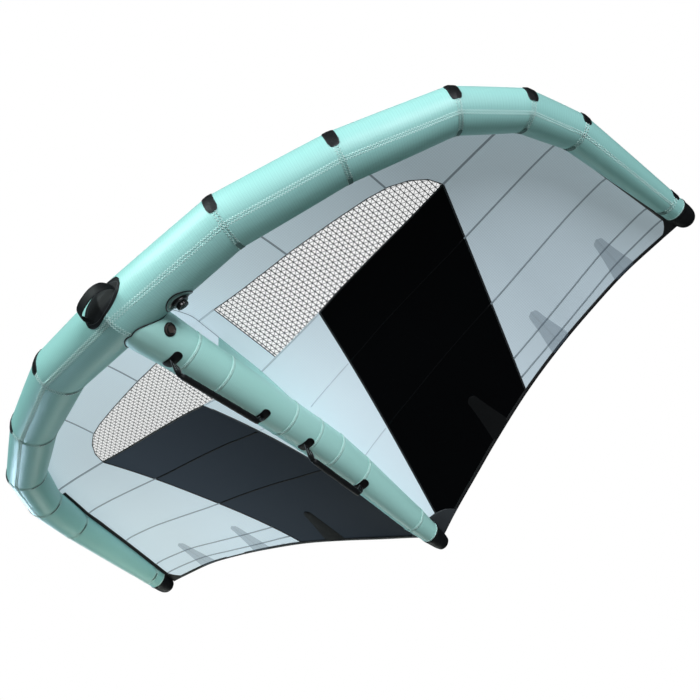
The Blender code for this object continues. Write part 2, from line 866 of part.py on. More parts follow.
def strut_patch(name, setback):
    def place(i, j, off):
        angle = (i / patch_turns * 2 - 1) * STRUT_PATCH_REACH
        past = max(abs(i / patch_turns * 2 - 1) - 0.72, 0) / 0.28
        half = STRUT_PATCH_HALF * math.sqrt(1 - 0.92 * past * past)
        return strut_point(setback + (j - 1) * half, angle, off)

    wrapped(
        name,
        "black_webbing",
        patch_turns,
        2,
        lambda i, j: place(i, j, CLEAR * 2),
        lambda i, j: place(i, j, CLEAR * 2 + PATCH),
    )


def underside_slope(y):
    ahead = strut_point(y + STRAP_HALF, 0, 0)
    behind = strut_point(y - STRAP_HALF, 0, 0)
    return (ahead - behind).normalized().z


def grip(name, start, end, hang, tail_hang):
    """A padded bar on two short straps, hung from the line between its two patches."""
    drop = CLEAR * 3 + PATCH + STRAP_THICK
    fall = (strut_point(end, 0, 0) - strut_point(start, 0, 0)).normalized().z
    head = strut_point(start, 0, drop + STRAP_HALF * abs(fall - underside_slope(start)))
    foot = strut_point(end, 0, drop + STRAP_HALF * abs(fall - underside_slope(end)))
    along = (foot - head).normalized()
    down = Vector((0, along.z, -along.y))
    bar_from = head + along * STRAP_LEAD + down * hang
    bar_to = foot - along * STRAP_TAIL + down * tail_hang
    bar = (bar_to - bar_from).normalized()
    across = Vector((0, bar.z, -bar.y))
    lead = (bar_from - head).normalized()
    tail = (bar_to - foot).normalized()
    lead_wide = (along - across * 0.55).normalized()
    tail_wide = (-across - along * 0.8).normalized()
    stations = (
        (head - down * (STRAP_THICK * 0.8), along, STRAP_THICK * 0.5, STRAP_HALF),
        (head, along, STRAP_THICK, STRAP_HALF),
        (head + lead * (hang * 0.35), along, STRAP_THICK, STRAP_HALF),
        (bar_from - bar * (GRIP_RADIUS * 0.6), lead_wide, STRAP_THICK * 1.6, GRIP_RADIUS * 0.95),
        (bar_from + bar * (GRIP_RADIUS * 0.9), -across, GRIP_RADIUS * 0.80, GRIP_RADIUS * 0.95),
        (bar_from + bar * (GRIP_RADIUS * 2.2), -across, GRIP_RADIUS, GRIP_RADIUS),
        (bar_from.lerp(bar_to, 0.5), -across, GRIP_RADIUS, GRIP_RADIUS),
        (bar_to - bar * (GRIP_RADIUS * 2.2), -across, GRIP_RADIUS, GRIP_RADIUS),
        (bar_to - bar * (GRIP_RADIUS * 0.9), -across, GRIP_RADIUS * 0.80, GRIP_RADIUS * 0.95),
        (bar_to + bar * (GRIP_RADIUS * 0.3), tail_wide, STRAP_THICK * 1.6, GRIP_RADIUS * 0.95),
        (foot + tail * (tail_hang * 0.35), -along, STRAP_THICK, STRAP_HALF),
        (foot, -along, STRAP_THICK, STRAP_HALF),
        (foot - down * (STRAP_THICK * 0.8), -along, STRAP_THICK * 0.5, STRAP_HALF),
    )
    rings = []
    for centre, wide, thick, half in stations:
        ring = []
        for k in range(16):
            angle = 2 * math.pi * (k + 0.5) / 16
            x = math.copysign(abs(math.sin(angle)) ** 0.8, math.sin(angle)) * thick
            w = math.copysign(abs(math.cos(angle)) ** 0.8, math.cos(angle)) * half
            ring.append(centre + Vector((x, 0, 0)) + wide * w)
        rings.append(ring)
    return object_from(name, loft(rings), "black_webbing", head), head, foot


for name, start, end, hang, tail_hang in (
    ("front", FRONT_GRIP_FROM, FRONT_GRIP_TO, FRONT_GRIP_HANG, FRONT_GRIP_TAIL_HANG),
    ("rear", REAR_GRIP_FROM, REAR_GRIP_TO, REAR_GRIP_HANG, REAR_GRIP_TAIL_HANG),
):
    strut_patch(f"grip_patch_{name}_head", start)
    strut_patch(f"grip_patch_{name}_foot", end)
    grip(f"grip_{name}", start, end, hang, tail_hang)

# Grab loop on the nose, with its boat-shaped patch
loop_run, loop_rear, loop_up = frames[0]
loop_out = loop_rear * math.cos(LOOP_ANGLE) + loop_up * math.sin(LOOP_ANGLE)
first_length = (joints[1] - joints[0]).length
boat_columns = 12


def boat_point(i, j, off):
    u = i / boat_columns * 2 - 1
    reach = LOOP_PATCH_REACH * math.sqrt(1 - min(abs(u), 0.985) ** 2.4)
    slant = u * LOOP_PATCH_HALF * math.tan(LOOP_SLANT) / TUBE_RADIUS
    angle = LOOP_ANGLE + (j / 6 * 2 - 1) * reach - slant
    place = abs(u) * LOOP_PATCH_HALF / first_length
    return mirrored(tube_point(place, angle, off), 1 if u >= 0 else -1)


wrapped(
    "loop_patch",
    "black_webbing",
    boat_columns,
    6,
    lambda i, j: boat_point(i, j, CLEAR * 2),
    lambda i, j: boat_point(i, j, CLEAR * 2 + PATCH),
)

loop_tilt = abs((joints[1] - joints[0]).normalized().dot(loop_out)) * LOOP_WALL
loop_rock = LOOP_HALF_WIDTH * math.sin(LOOP_SLANT) / 4
loop_lift = CLEAR * 3 + PATCH + loop_tilt + loop_rock + LOOP_HALF_WIDTH
loop_place = LOOP_HALF * math.cos(LOOP_SLANT) / first_length
loop_swing = LOOP_HALF * math.sin(LOOP_SLANT) / TUBE_RADIUS
right_foot = tube_point(loop_place, LOOP_ANGLE - loop_swing, loop_lift)
left_foot = mirrored(tube_point(loop_place, LOOP_ANGLE + loop_swing, loop_lift), -1)
loop_pivot = right_foot.lerp(left_foot, 0.5)
loop_down = Vector((0, -loop_out.z, loop_out.y))
loop_along = Vector((1, 0, 0)) * math.cos(LOOP_SLANT) - loop_down * math.sin(LOOP_SLANT)
loop_across = Vector((1, 0, 0)) * math.sin(LOOP_SLANT) + loop_down * math.cos(LOOP_SLANT)
loop_stations = []
for share in (0.97, 0.8, 0.5):
    loop_stations.append((-LOOP_HALF, -share * LOOP_HALF_WIDTH, math.sqrt(1 - share * share)))
for k in range(17):
    angle = math.pi * k / 16
    x = -math.copysign(abs(math.cos(angle)) ** 0.8, math.cos(angle)) * LOOP_HALF
    loop_stations.append((x, abs(math.sin(angle)) ** 0.8 * LOOP_HEIGHT, 1))
loop_stations += [(-x, out, wide) for x, out, wide in reversed(loop_stations[:3])]
loop_centres = [loop_pivot + loop_out * out + loop_along * x for x, out, _ in loop_stations]
rings = []
for n, (centre, (x, out, wide)) in enumerate(zip(loop_centres, loop_stations)):
    ahead = loop_centres[min(n + 1, len(loop_centres) - 1)]
    behind = loop_centres[max(n - 1, 0)]
    run = (ahead - behind).normalized()
    outward = run.cross(loop_across).normalized()
    ring = []
    for k in range(8):
        angle = 2 * math.pi * (k + 0.5) / 8
        w = math.copysign(abs(math.cos(angle)) ** 0.4, math.cos(angle)) * LOOP_HALF_WIDTH * wide
        t = math.copysign(abs(math.sin(angle)) ** 0.6, math.sin(angle)) * LOOP_WALL / 2
        ring.append(centre + loop_across * w + outward * t)
    rings.append(ring)
object_from("nose_loop", loft(rings), "black_webbing", loop_pivot)


# Valves: a flange that follows the tube with a round boss, and a cap that turns or pulls out
def valve_rings(centre, along, across, out, radius, flange, boss, height):
    def ring(reach, off, flat=None):
        points = []
        for k in range(VALVE_SIDES):
            angle = 2 * math.pi * k / VALVE_SIDES
            side_step = reach * math.sin(angle)
            rise = math.sqrt((radius + off) ** 2 - side_step**2) - radius if flat is None else flat
            points.append(centre + along * (reach * math.cos(angle)) + across * side_step + out * rise)
        return points

    rings = [ring(flange * share, VALVE_SEAT) for share in (0.1, 0.3, 0.5, 0.7, 0.85, 1)]
    foot = min(boss * 1.12, (flange + boss) / 2)
    rings += [ring(flange, VALVE_SEAT + PATCH), ring((flange + foot) / 2, VALVE_SEAT + PATCH)]
    rings += [ring(foot, VALVE_SEAT + PATCH), ring(boss, 0, height)]
    return rings


def knob_rings(centre, along, across, out, radius, height, lobes):
    rings = []
    for lift, wide in ((0, 1), (0.80, 1), (0.94, 0.95), (1, 0.86)):
        ring = []
        for k in range(2 * VALVE_SIDES):
            angle = math.pi * k / VALVE_SIDES
            reach = radius * wide * (1 + 0.035 * math.cos(lobes * angle))
            step = along * (reach * math.cos(angle)) + across * (reach * math.sin(angle))
            ring.append(centre + step + out * (height * lift))
        rings.append(ring)
    return rings


valve_share = VALVE_PLACE / joints[1].x
valve_axis = joints[0].lerp(joints[1], valve_share)
valve_run = (joints[1] - joints[0]).normalized()
valve_rear = Vector((0, 0, 1)).cross(valve_run).normalized()
valve_up = valve_run.cross(valve_rear)
valve_out = valve_rear * math.cos(VALVE_ANGLE) + valve_up * math.sin(VALVE_ANGLE)
valve_across = valve_out.cross(valve_run)
valve_radius = radii[0] + (radii[1] - radii[0]) * valve_share
valve_centre = valve_axis + valve_out * valve_radius
valve_top = valve_centre + valve_out * (VALVE_HEIGHT + CLEAR)
valve_ways = (valve_run, valve_across, valve_out)
rings = valve_rings(valve_centre, *valve_ways, valve_radius, VALVE_FLANGE, VALVE_BOSS, VALVE_HEIGHT)
object_from("edge_valve", loft(rings), "black_plastic")
rings = knob_rings(valve_top, *valve_ways, VALVE_CAP, VALVE_CAP_HEIGHT, 8)
object_from("edge_valve_cap", loft(rings), "black_plastic", valve_top)

plug_low = strut_point(PLUG_SETBACK - PLUG_FLANGE, math.pi / 2 - PLUG_ANGLE, 0)
plug_high = strut_point(PLUG_SETBACK + PLUG_FLANGE, math.pi / 2 - PLUG_ANGLE, 0)
plug_run = (plug_high - plug_low).normalized()
plug_centre = plug_low.lerp(plug_high, 0.5)
plug_out = Vector((math.cos(PLUG_ANGLE), 0, -math.sin(PLUG_ANGLE)))
plug_out = (plug_out - plug_run * plug_out.dot(plug_run)).normalized()
plug_across = plug_out.cross(plug_run)
plug_radius = strut_centre(PLUG_SETBACK)[1]
plug_top = plug_centre + plug_out * (PLUG_HEIGHT + CLEAR)
plug_ways = (plug_run, plug_across, plug_out)
rings = valve_rings(plug_centre, *plug_ways, plug_radius, PLUG_FLANGE, PLUG_BOSS, PLUG_HEIGHT)
object_from("strut_valve", loft(rings), "black_plastic")
rings = knob_rings(plug_top, *plug_ways, PLUG_CAP, PLUG_CAP_HEIGHT, 3)
object_from("strut_valve_plug", loft(rings), "black_plastic", plug_top)

# The rider's hands hold the strut's underside between the grips, and that point is the origin
hold = strut_point(GRIP_SETBACK, 0, 0)
wing.location = -hold
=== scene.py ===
"""A wing for wing foiling, seen from below and in front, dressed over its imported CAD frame."""

import bisect
import math

import bmesh
import bpy
from mathutils import Matrix, Vector


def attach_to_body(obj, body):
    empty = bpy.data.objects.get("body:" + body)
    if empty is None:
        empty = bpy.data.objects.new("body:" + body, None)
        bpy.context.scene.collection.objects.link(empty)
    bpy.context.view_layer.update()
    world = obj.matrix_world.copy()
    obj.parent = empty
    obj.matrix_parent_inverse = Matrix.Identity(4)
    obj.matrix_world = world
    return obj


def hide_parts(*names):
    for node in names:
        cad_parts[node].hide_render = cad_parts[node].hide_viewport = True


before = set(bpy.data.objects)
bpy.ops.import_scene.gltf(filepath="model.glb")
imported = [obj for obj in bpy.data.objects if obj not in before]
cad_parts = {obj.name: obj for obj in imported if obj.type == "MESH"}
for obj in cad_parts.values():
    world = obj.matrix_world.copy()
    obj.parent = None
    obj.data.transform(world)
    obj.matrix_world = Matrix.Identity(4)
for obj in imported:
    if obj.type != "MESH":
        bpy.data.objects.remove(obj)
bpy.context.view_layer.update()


# Camera, floor and light
# The wing hangs in the air as a rider holds it overhead, and is seen from below, to its right and
# in front. Wide soft lamps in front, at both sides and behind light it over a pale floor far below,
# and a small one by the left tip lights the tube's inner side there.
def add_node(tree, kind, settings=None, **links):
    """Adds a node. A link named i0 feeds its first input, from a socket or with a value."""
    made = tree.nodes.new(kind)
    for key, value in (settings or {}).items():
        setattr(made, key, value)
    for key, value in links.items():
        socket = made.inputs[int(key[1:])]
        if isinstance(value, bpy.types.NodeSocket):
            tree.links.new(value, socket)
        else:
            socket.default_value = value
    return made


def reckon(tree, operation, *values):
    """One step of arithmetic in a node tree."""
    links = {f"i{k}": value for k, value in enumerate(values)}
    return add_node(tree, "ShaderNodeMath", {"operation": operation}, **links).outputs[0]


def opened(material):
    """A material's tree and shader, with texture coordinates to read from."""
    tree = material.node_tree
    return tree, tree.nodes["Principled BSDF"], add_node(tree, "ShaderNodeTexCoord")


def new_finish(name):
    """A new material, with its tree, its shader and its texture coordinates."""
    made = bpy.data.materials.new(name)
    made.use_nodes = True
    return (made, *opened(made))


def seen_directly(tree):
    """1 for rays that come from the camera, also through film, and 0 for all others."""
    rays = add_node(tree, "ShaderNodeLightPath")
    return reckon(tree, "MAXIMUM", rays.outputs["Is Camera Ray"], rays.outputs["Is Transmission Ray"])


FLOOR_SIDE, FLOOR_DEPTH = 60, 9.0
FLOOR_PALE = 0.86
eye = Vector((1.887, -1.982, -2.718))
look = Vector((-0.3968, 0.518, 0.7578)).normalized()
right = look.cross(Vector((0.5584, -0.519, 0.6471))).normalized()
up = right.cross(look)
bpy.ops.object.camera_add(location=eye)
camera = bpy.context.object
turned = Matrix((right, up, -look)).transposed().to_4x4()
camera.matrix_world = Matrix.Translation(eye) @ turned
camera.data.lens = 50
camera.data.sensor_width = 36
camera.data.clip_end = 100
bpy.context.scene.camera = camera
bpy.context.scene.view_settings.view_transform = "Standard"

world = bpy.data.worlds.new("studio")
bpy.context.scene.world = world
world.use_nodes = True
sky = world.node_tree
sky.nodes.clear()
plain = add_node(sky, "ShaderNodeBackground", i0=(0.72, 1.0, 0.96, 1), i1=0.02).outputs[0]
white = add_node(sky, "ShaderNodeBackground", i0=(1, 1, 1, 1), i1=1).outputs[0]
both = add_node(sky, "ShaderNodeMixShader", i0=seen_directly(sky), i1=plain, i2=white)
add_node(sky, "ShaderNodeOutputWorld", i0=both.outputs[0])


def lamp(name, place, target, size, power, colour, spread=180):
    """A round soft lamp at a place, turned to its target, that no camera sees."""
    bpy.ops.object.light_add(type="AREA", location=place)
    obj = bpy.context.object
    obj.name = name
    obj.data.shape = "DISK"
    obj.data.size = size
    obj.data.energy = power
    obj.data.color = colour
    obj.data.spread = math.radians(spread)
    obj.visible_camera = False
    obj.rotation_euler = (Vector(target) - Vector(place)).to_track_quat("-Z", "Y").to_euler()


lamp("front_lamp", (-0.7, -7.6, 1.9), (0, 0, 0.1), 3.5, 520, (0.88, 1, 0.99))
lamp("right_lamp", (7.2, -5.1, -1.2), (0, 0, 0.1), 4.0, 680, (0.95, 0.96, 1))
lamp("left_lamp", (-5.2, 0.4, 0.8), (-1.4, 0.3, 0.3), 1.5, 115, (0.62, 0.82, 1))
lamp("rear_lamp", (-4.6, 4.4, -1.6), (0, 0.4, 0.1), 2.2, 74, (0.92, 1, 0.93))
lamp("tip_lamp", (-1.0, -0.2, -1.0), (-1.7, 0.95, 0.4), 0.7, 3, (1, 1, 0.90), spread=80)

bpy.ops.mesh.primitive_plane_add(size=FLOOR_SIDE, location=(0, 0, -FLOOR_DEPTH))
floor = bpy.context.object
floor.name = "floor"
floor_finish, tree, shader, where = new_finish("pale_floor")
specks = add_node(tree, "ShaderNodeTexNoise", i0=where.outputs["Object"], i2=0.8, i3=3.0)
ramp = add_node(tree, "ShaderNodeMapRange", i0=specks.outputs[0], i1=0.0, i2=1.0, i3=0.80, i4=0.84)
tree.links.new(ramp.outputs[0], shader.inputs["Base Color"])
pale = reckon(tree, "MULTIPLY", seen_directly(tree), FLOOR_PALE)
tree.links.new(pale, shader.inputs["Emission Color"])
shader.inputs["Emission Strength"].default_value = 1
shader.inputs["Roughness"].default_value = 0.8
floor.data.materials.append(floor_finish)

# Front tube
# One long tube of coated polyester over an air bladder, sewn from six tapering pieces a side that
# meet at mitred seams. Every seam is pulled in slightly by two rows of zigzag stitching.
HOLD = Vector((0, 0.81, -0.06694))
HALF_SPAN, SWEEP, RISE = 1.60, 1.40, 0.44
TUBE_RADIUS = 0.110
TIP_STUB = 0.070
MERGE_WITHIN = 0.00002
joint_shares = (
    (0, 0, 0, 1),
    (0.293, 0.043, 0.268, 0.973),
    (0.5525, 0.151, 0.509, 0.882),
    (0.786, 0.294, 0.755, 0.782),
    (0.8925, 0.446, 0.889, 0.718),
    (0.944, 0.612, 0.973, 0.645),
    (0.995, 0.996, 0.998, 0.455),
)
joints = [Vector((HALF_SPAN * x, SWEEP * y, RISE * z)) for x, y, z, _ in joint_shares]
radii = [TUBE_RADIUS * share for *_, share in joint_shares]
last_run = (joints[-1] - joints[-2]).normalized()
taper = (radii[-1] - radii[-2]) / (joints[-1] - joints[-2]).length
joints.append(joints[-1] + last_run * TIP_STUB)
radii.append(radii[-1] + taper * TIP_STUB)
RIM = len(joints) - 1


def frame_at(i):
    """At joint i: the way the tube runs, and the seam plane's rear and upward ways."""
    if i == 0:
        normal, run = Vector((1, 0, 0)), (joints[1] - joints[0]).normalized()
    elif i == RIM:
        normal = run = last_run
    else:
        run = (joints[i + 1] - joints[i]).normalized()
        normal = (run + (joints[i] - joints[i - 1]).normalized()).normalized()
    rear = Vector((0, 0, 1)).cross(normal).normalized()
    return run, rear, normal.cross(rear)


frames = [frame_at(i) for i in range(len(joints))]
lengths = [(b - a).length for a, b in zip(joints, joints[1:])]


def ring_point(i, angle, off):
    """A point on the tube in the seam plane of joint i: 0 degrees is its rear, 90 its top."""
    run, rear, above = frames[i]
    way = rear * math.cos(angle) + above * math.sin(angle)
    return joints[i] + way * ((radii[i] + off) / math.sqrt(1 - way.dot(run) ** 2))


def tube_point(place, angle, off):
    """A point on the tube: place 2.25 is a quarter of the way from joint 2 to joint 3."""
    i = min(int(place), RIM - 1)
    return ring_point(i, angle, off).lerp(ring_point(i + 1, angle, off), place - i)


def beside(i, step):
    """The place a step in metres along the tube from joint i."""
    return i + (step / lengths[i] if step > 0 else step / lengths[i - 1])


def mirrored(point, side):
    """A point of the right half, or its image in the left half where side is -1."""
    return Vector((point.x * side, point.y, point.z))


def only(*objects):
    """Selects these objects alone, the last of them active."""
    bpy.ops.object.select_all(action="DESELECT")
    for obj in objects:
        obj.select_set(True)
        bpy.context.view_layer.objects.active = obj


def skin(name, columns, rows, place, metres, around=False, ends=False, merge=False):
    """Lays a flat grid over a surface, with a UV map in metres, and closes it where asked."""
    bpy.ops.mesh.primitive_grid_add(x_subdivisions=columns, y_subdivisions=rows, size=2)
    obj = bpy.context.object
    obj.name = name
    mesh = obj.data
    spots = [
        (round((v.co.x + 1) / 2 * columns), round((v.co.y + 1) / 2 * rows)) for v in mesh.vertices
    ]
    for vert, (i, j) in zip(mesh.vertices, spots):
        vert.co = place(i, j) - HOLD
    layer = mesh.uv_layers.active or mesh.uv_layers.new(name="UVMap")
    flat = {spot: metres(*spot) for spot in set(spots)}
    for loop in mesh.loops:
        layer.data[loop.index].uv = flat[spots[loop.vertex_index]]
    only(obj)
    bpy.ops.object.mode_set(mode="EDIT")
    bpy.ops.mesh.select_all(action="SELECT")
    if around or merge:
        bpy.ops.mesh.remove_doubles(threshold=MERGE_WITHIN)
    if ends:
        bpy.ops.mesh.select_all(action="DESELECT")
        bpy.ops.mesh.select_non_manifold()
        bpy.ops.mesh.fill_holes(sides=0)
        bpy.ops.mesh.select_all(action="SELECT")
    bpy.ops.mesh.normals_make_consistent(inside=False)
    bpy.ops.object.mode_set(mode="OBJECT")
    bpy.ops.object.shade_smooth()
    return obj


def thicken(obj, wall):
    """Gives a flat piece its wall, half of it on each side."""
    only(obj)
    made = obj.modifiers.new("wall", "SOLIDIFY")
    made.thickness = wall
    made.offset = 0
    bpy.ops.object.modifier_apply(modifier="wall")


def joined(name, pieces):
    """Joins pieces into one mesh."""
    only(*pieces)
    bpy.ops.object.join()
    obj = bpy.context.object
    obj.name = name
    return obj


def dress(piece, body, slot, material, *nodes):
    """Gives a finished piece its material and body, and hides the CAD nodes that it stands for. Its slot is
    not used.
    """
    piece.data.materials.clear()
    piece.data.materials.append(material)
    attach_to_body(piece, body)
    if nodes:
        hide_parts(*nodes)
    return piece


def group(name, inputs, outputs):
    """Starts a node group: the group, what it is given and what it puts out."""
    made = bpy.data.node_groups.new(name, "ShaderNodeTree")
    for label, kind, value in inputs:
        socket = made.interface.new_socket(label, in_out="INPUT", socket_type=kind)
        if value is not None:
            socket.default_value = value
    for label in outputs:
        made.interface.new_socket(label, in_out="OUTPUT", socket_type="NodeSocketFloat")
    return made, made.nodes.new("NodeGroupInput"), made.nodes.new("NodeGroupOutput")


# Woven cloth with a grid of thicker yarns: how far a point is on a yarn, and the weave's height
ripstop, given, out = group(
    "ripstop",
    [
        ("Vector", "NodeSocketVector", None),
        ("Spacing", "NodeSocketFloat", 0.006),
        ("Yarn", "NodeSocketFloat", 0.12),
    ],
    ["Line", "Weave"],
)
parts = add_node(ripstop, "ShaderNodeSeparateXYZ", i0=given.outputs[0])
found = []
weaves = []
for axis in (0, 1):
    scaled = reckon(ripstop, "DIVIDE", parts.outputs[axis], given.outputs[1])
    fold = reckon(ripstop, "PINGPONG", scaled, 0.5)
    found.append(reckon(ripstop, "LESS_THAN", fold, given.outputs[2]))
    weaves.append(reckon(ripstop, "SINE", reckon(ripstop, "MULTIPLY", scaled, 50.0)))
ripstop.links.new(reckon(ripstop, "MAXIMUM", *found), out.inputs[0])
ripstop.links.new(reckon(ripstop, "MULTIPLY", *weaves), out.inputs[1])

# Soft cloudy change over the surface, in metres of the object
cloudy, given, out = group(
    "cloudy",
    [("Vector", "NodeSocketVector", None), ("Scale", "NodeSocketFloat", 3.0)],
    ["Cloud"],
)
puffs = add_node(cloudy, "ShaderNodeTexNoise", i0=given.outputs[0], i2=given.outputs[1], i3=3.0)
cloudy.links.new(puffs.outputs[0], out.inputs[0])


def place_group(tree, made, **links):
    """Places a node group in a tree."""
    return add_node(tree, "ShaderNodeGroup", {"node_tree": made}, **links)


def blend_colour(tree, share, first, second):
    """Mixes two colours by a share: 0 is the first and 1 the second."""
    made = add_node(tree, "ShaderNodeMix", {"data_type": "RGBA"}, i0=share, i6=first, i7=second)
    return made.outputs[2]


def raise_relief(tree, shader, height, strength, depth):
    """Shades the surface by a height over it."""
    bump = add_node(tree, "ShaderNodeBump", i0=strength, i1=depth)
    tree.links.new(height, bump.inputs["Height"])
    tree.links.new(bump.outputs[0], shader.inputs["Normal"])


def cloth_finish(name, pale, deep, spacing, yarn, roughness, line_dark=0.12, cloud=2.0):
    """Coated woven cloth: two tones that drift over it, darker yarns, and a fine relief."""
    made, tree, shader, where = new_finish(name)
    woven = place_group(tree, ripstop, i0=where.outputs["UV"], i1=spacing, i2=yarn)
    drift = place_group(tree, cloudy, i0=where.outputs["Object"], i1=cloud)
    share = add_node(tree, "ShaderNodeMapRange", i0=drift.outputs[0], i1=0.35, i2=0.65)
    tone = blend_colour(tree, share.outputs[0], (*pale, 1), (*deep, 1))
    dark = reckon(tree, "MULTIPLY", woven.outputs[0], line_dark)
    tone = blend_colour(tree, dark, tone, (*[c * 0.25 for c in deep], 1))
    tree.links.new(tone, shader.inputs["Base Color"])
    smooth, dull = roughness - 0.05, roughness + 0.05
    rough = add_node(
        tree, "ShaderNodeMapRange", i0=drift.outputs[0], i1=0.3, i2=0.7, i3=smooth, i4=dull
    )
    tree.links.new(rough.outputs[0], shader.inputs["Roughness"])
    high = reckon(tree, "MULTIPLY_ADD", woven.outputs[0], 1.5, woven.outputs[1])
    raise_relief(tree, shader, high, 0.15, 0.0003)
    return made


def set_shine(material, level):
    """Sets how much a finish mirrors what is round it."""
    material.node_tree.nodes["Principled BSDF"].inputs["Specular IOR Level"].default_value = level


def parted(tree, where, kind="UV"):
    """The three numbers of a texture coordinate."""
    return add_node(tree, "ShaderNodeSeparateXYZ", i0=where.outputs[kind]).outputs


def ribbed(material, pitch, dark):
    """Adds faint ribs round a tube, where the yarns lie closer, to a coated cloth."""
    tree, shader, where = opened(material)
    tone = shader.inputs["Base Color"].links[0].from_socket
    fold = reckon(tree, "PINGPONG", reckon(tree, "MULTIPLY", parted(tree, where)[0], 1 / pitch), 0.5)
    sharp = reckon(tree, "POWER", reckon(tree, "MULTIPLY", fold, 2.0), 3.0)
    rib = reckon(tree, "MULTIPLY", sharp, dark)
    tree.links.new(blend_colour(tree, rib, tone, (0.06, 0.14, 0.13, 1)), shader.inputs["Base Color"])


CLOTH_GRID, CLOTH_YARN, CLOTH_ROUGH = 0.0065, 0.08, 0.42
RIB_PITCH = 0.010
tube_cloth = cloth_finish(
    "tube_cloth", (0.350, 0.675, 0.635), (0.310, 0.625, 0.585), CLOTH_GRID, CLOTH_YARN, CLOTH_ROUGH
)
set_shine(tube_cloth, 0.45)
ribbed(tube_cloth, RIB_PITCH, 0.09)
SEAM_ANGLE = math.radians(246)
TUBE_ROWS = 80
RING_PINCH, RING_SPREAD = 0.0018, 0.009
LONG_PINCH, LONG_SPREAD = 0.0009, 0.008
FULLNESS = 0.0010
PUCKER, PUCKER_SPREAD, PUCKERS = 0.0007, 0.02, 34
steps_in_metres = (0, 0.003, 0.008, 0.014, 0.022, 0.035)


def stations(length):
    """Places along a run, close together at both of its seams."""
    near = [step / length for step in steps_in_metres]
    middle = [0.16, 0.26, 0.38, 0.5, 0.62, 0.74, 0.84]
    middle = [share for share in middle if near[-1] * 1.3 < share < 1 - near[-1] * 1.3]
    return near + middle + [1 - share for share in reversed(near)]


def pinch(distance):
    """How far a seam pulls the cloth in, at a distance from it."""
    return RING_PINCH * math.exp(-((distance / RING_SPREAD) ** 2))


tube_places = []
for i in range(RIM):
    if i == RIM - 1:
        shares = [0.15, 0.3, 0.5, 0.7, 0.85, 1]
    else:
        shares = stations(lengths[i])[1 if i else 0 :]
    tube_places += [i + share for share in shares]


def tube_skin(place, angle):
    """A point of the right half's blown-up cloth, which bulges between its seams."""
    i = min(int(place), RIM - 1)
    ahead = (place - i) * lengths[i]
    behind = (i + 1 - place) * lengths[i]
    nearest = min(ahead, behind) if i < RIM - 1 else ahead
    full = FULLNESS * math.sin(math.pi * min(max(place - i, 0), 1)) if i < RIM - 1 else 0
    pucker = PUCKER * math.exp(-nearest / PUCKER_SPREAD) * math.sin(PUCKERS * angle + 2 * i)
    long_seam = LONG_PINCH * math.exp(-(((angle - SEAM_ANGLE) * TUBE_RADIUS / LONG_SPREAD) ** 2))
    off = full - pinch(nearest) + pucker * min(nearest / 0.006, 1) - long_seam
    return tube_point(place, angle, off)


half_places = tube_places[1:]
full_places = [-place for place in reversed(half_places)] + [0] + half_places
run_metres = [0]
for a, b in zip(full_places, full_places[1:]):
    step = (tube_point(abs(b), 0, 0) - tube_point(abs(a), 0, 0)).length
    run_metres.append(run_metres[-1] + step)


def sided_skin(place, angle):
    """The same for both halves: a place below zero is on the left."""
    return mirrored(tube_skin(abs(place), angle), -1 if place < 0 else 1)


front_tube = skin(
    "front_tube",
    len(full_places) - 1,
    TUBE_ROWS,
    lambda i, j: sided_skin(full_places[i], 2 * math.pi * j / TUBE_ROWS),
    lambda i, j: (run_metres[i], 2 * math.pi * TUBE_RADIUS * j / TUBE_ROWS),
    around=True,
    ends=True,
)
tube_nodes = [f"edge_{k}_{word}" for k in range(1, RIM) for word in ("right", "left")]
dress(front_tube, "wing", "mint_cloth", tube_cloth, *tube_nodes)

# Zigzag stitching
# Two rows of pale bonded thread along every seam of the front tube. The long seam runs under the
# tube from tip to tip, and a ring of the same stitching closes each mitred joint.
STITCH_REACH = 0.0044
STITCH_PITCH = 0.0054
ROW_GAP = 0.0060
LONG_THREAD, RING_THREAD = 0.0014, 0.0013


def thread(name, path, radius, closed=False):
    """A thread along a path of points: a round curve made a mesh."""
    curve = bpy.data.curves.new(name, "CURVE")
    curve.dimensions = "3D"
    spline = curve.splines.new("POLY")
    spline.points.add(len(path) - 1)
    for spot, point in zip(spline.points, path):
        spot.co = (*(point - HOLD), 1)
    spline.use_cyclic_u = closed
    curve.bevel_depth = radius
    curve.bevel_resolution = 0
    curve.use_fill_caps = True
    obj = bpy.data.objects.new(name, curve)
    bpy.context.scene.collection.objects.link(obj)
    only(obj)
    bpy.ops.object.convert(target="MESH")
    obj = bpy.context.object
    obj.name = name
    return obj


def thread_finish(name, pale, deep):
    """Twisted thread in two tones."""
    made, tree, shader, where = new_finish(name)
    twist = add_node(tree, "ShaderNodeTexNoise", i0=where.outputs["Object"], i2=900.0, i3=2.0)
    tone = blend_colour(tree, twist.outputs[0], (*pale, 1), (*deep, 1))
    tree.links.new(tone, shader.inputs["Base Color"])
    raise_relief(tree, shader, twist.outputs[0], 0.3, 0.0002)
    shader.inputs["Roughness"].default_value = 0.6
    set_shine(made, 0.3)
    return made


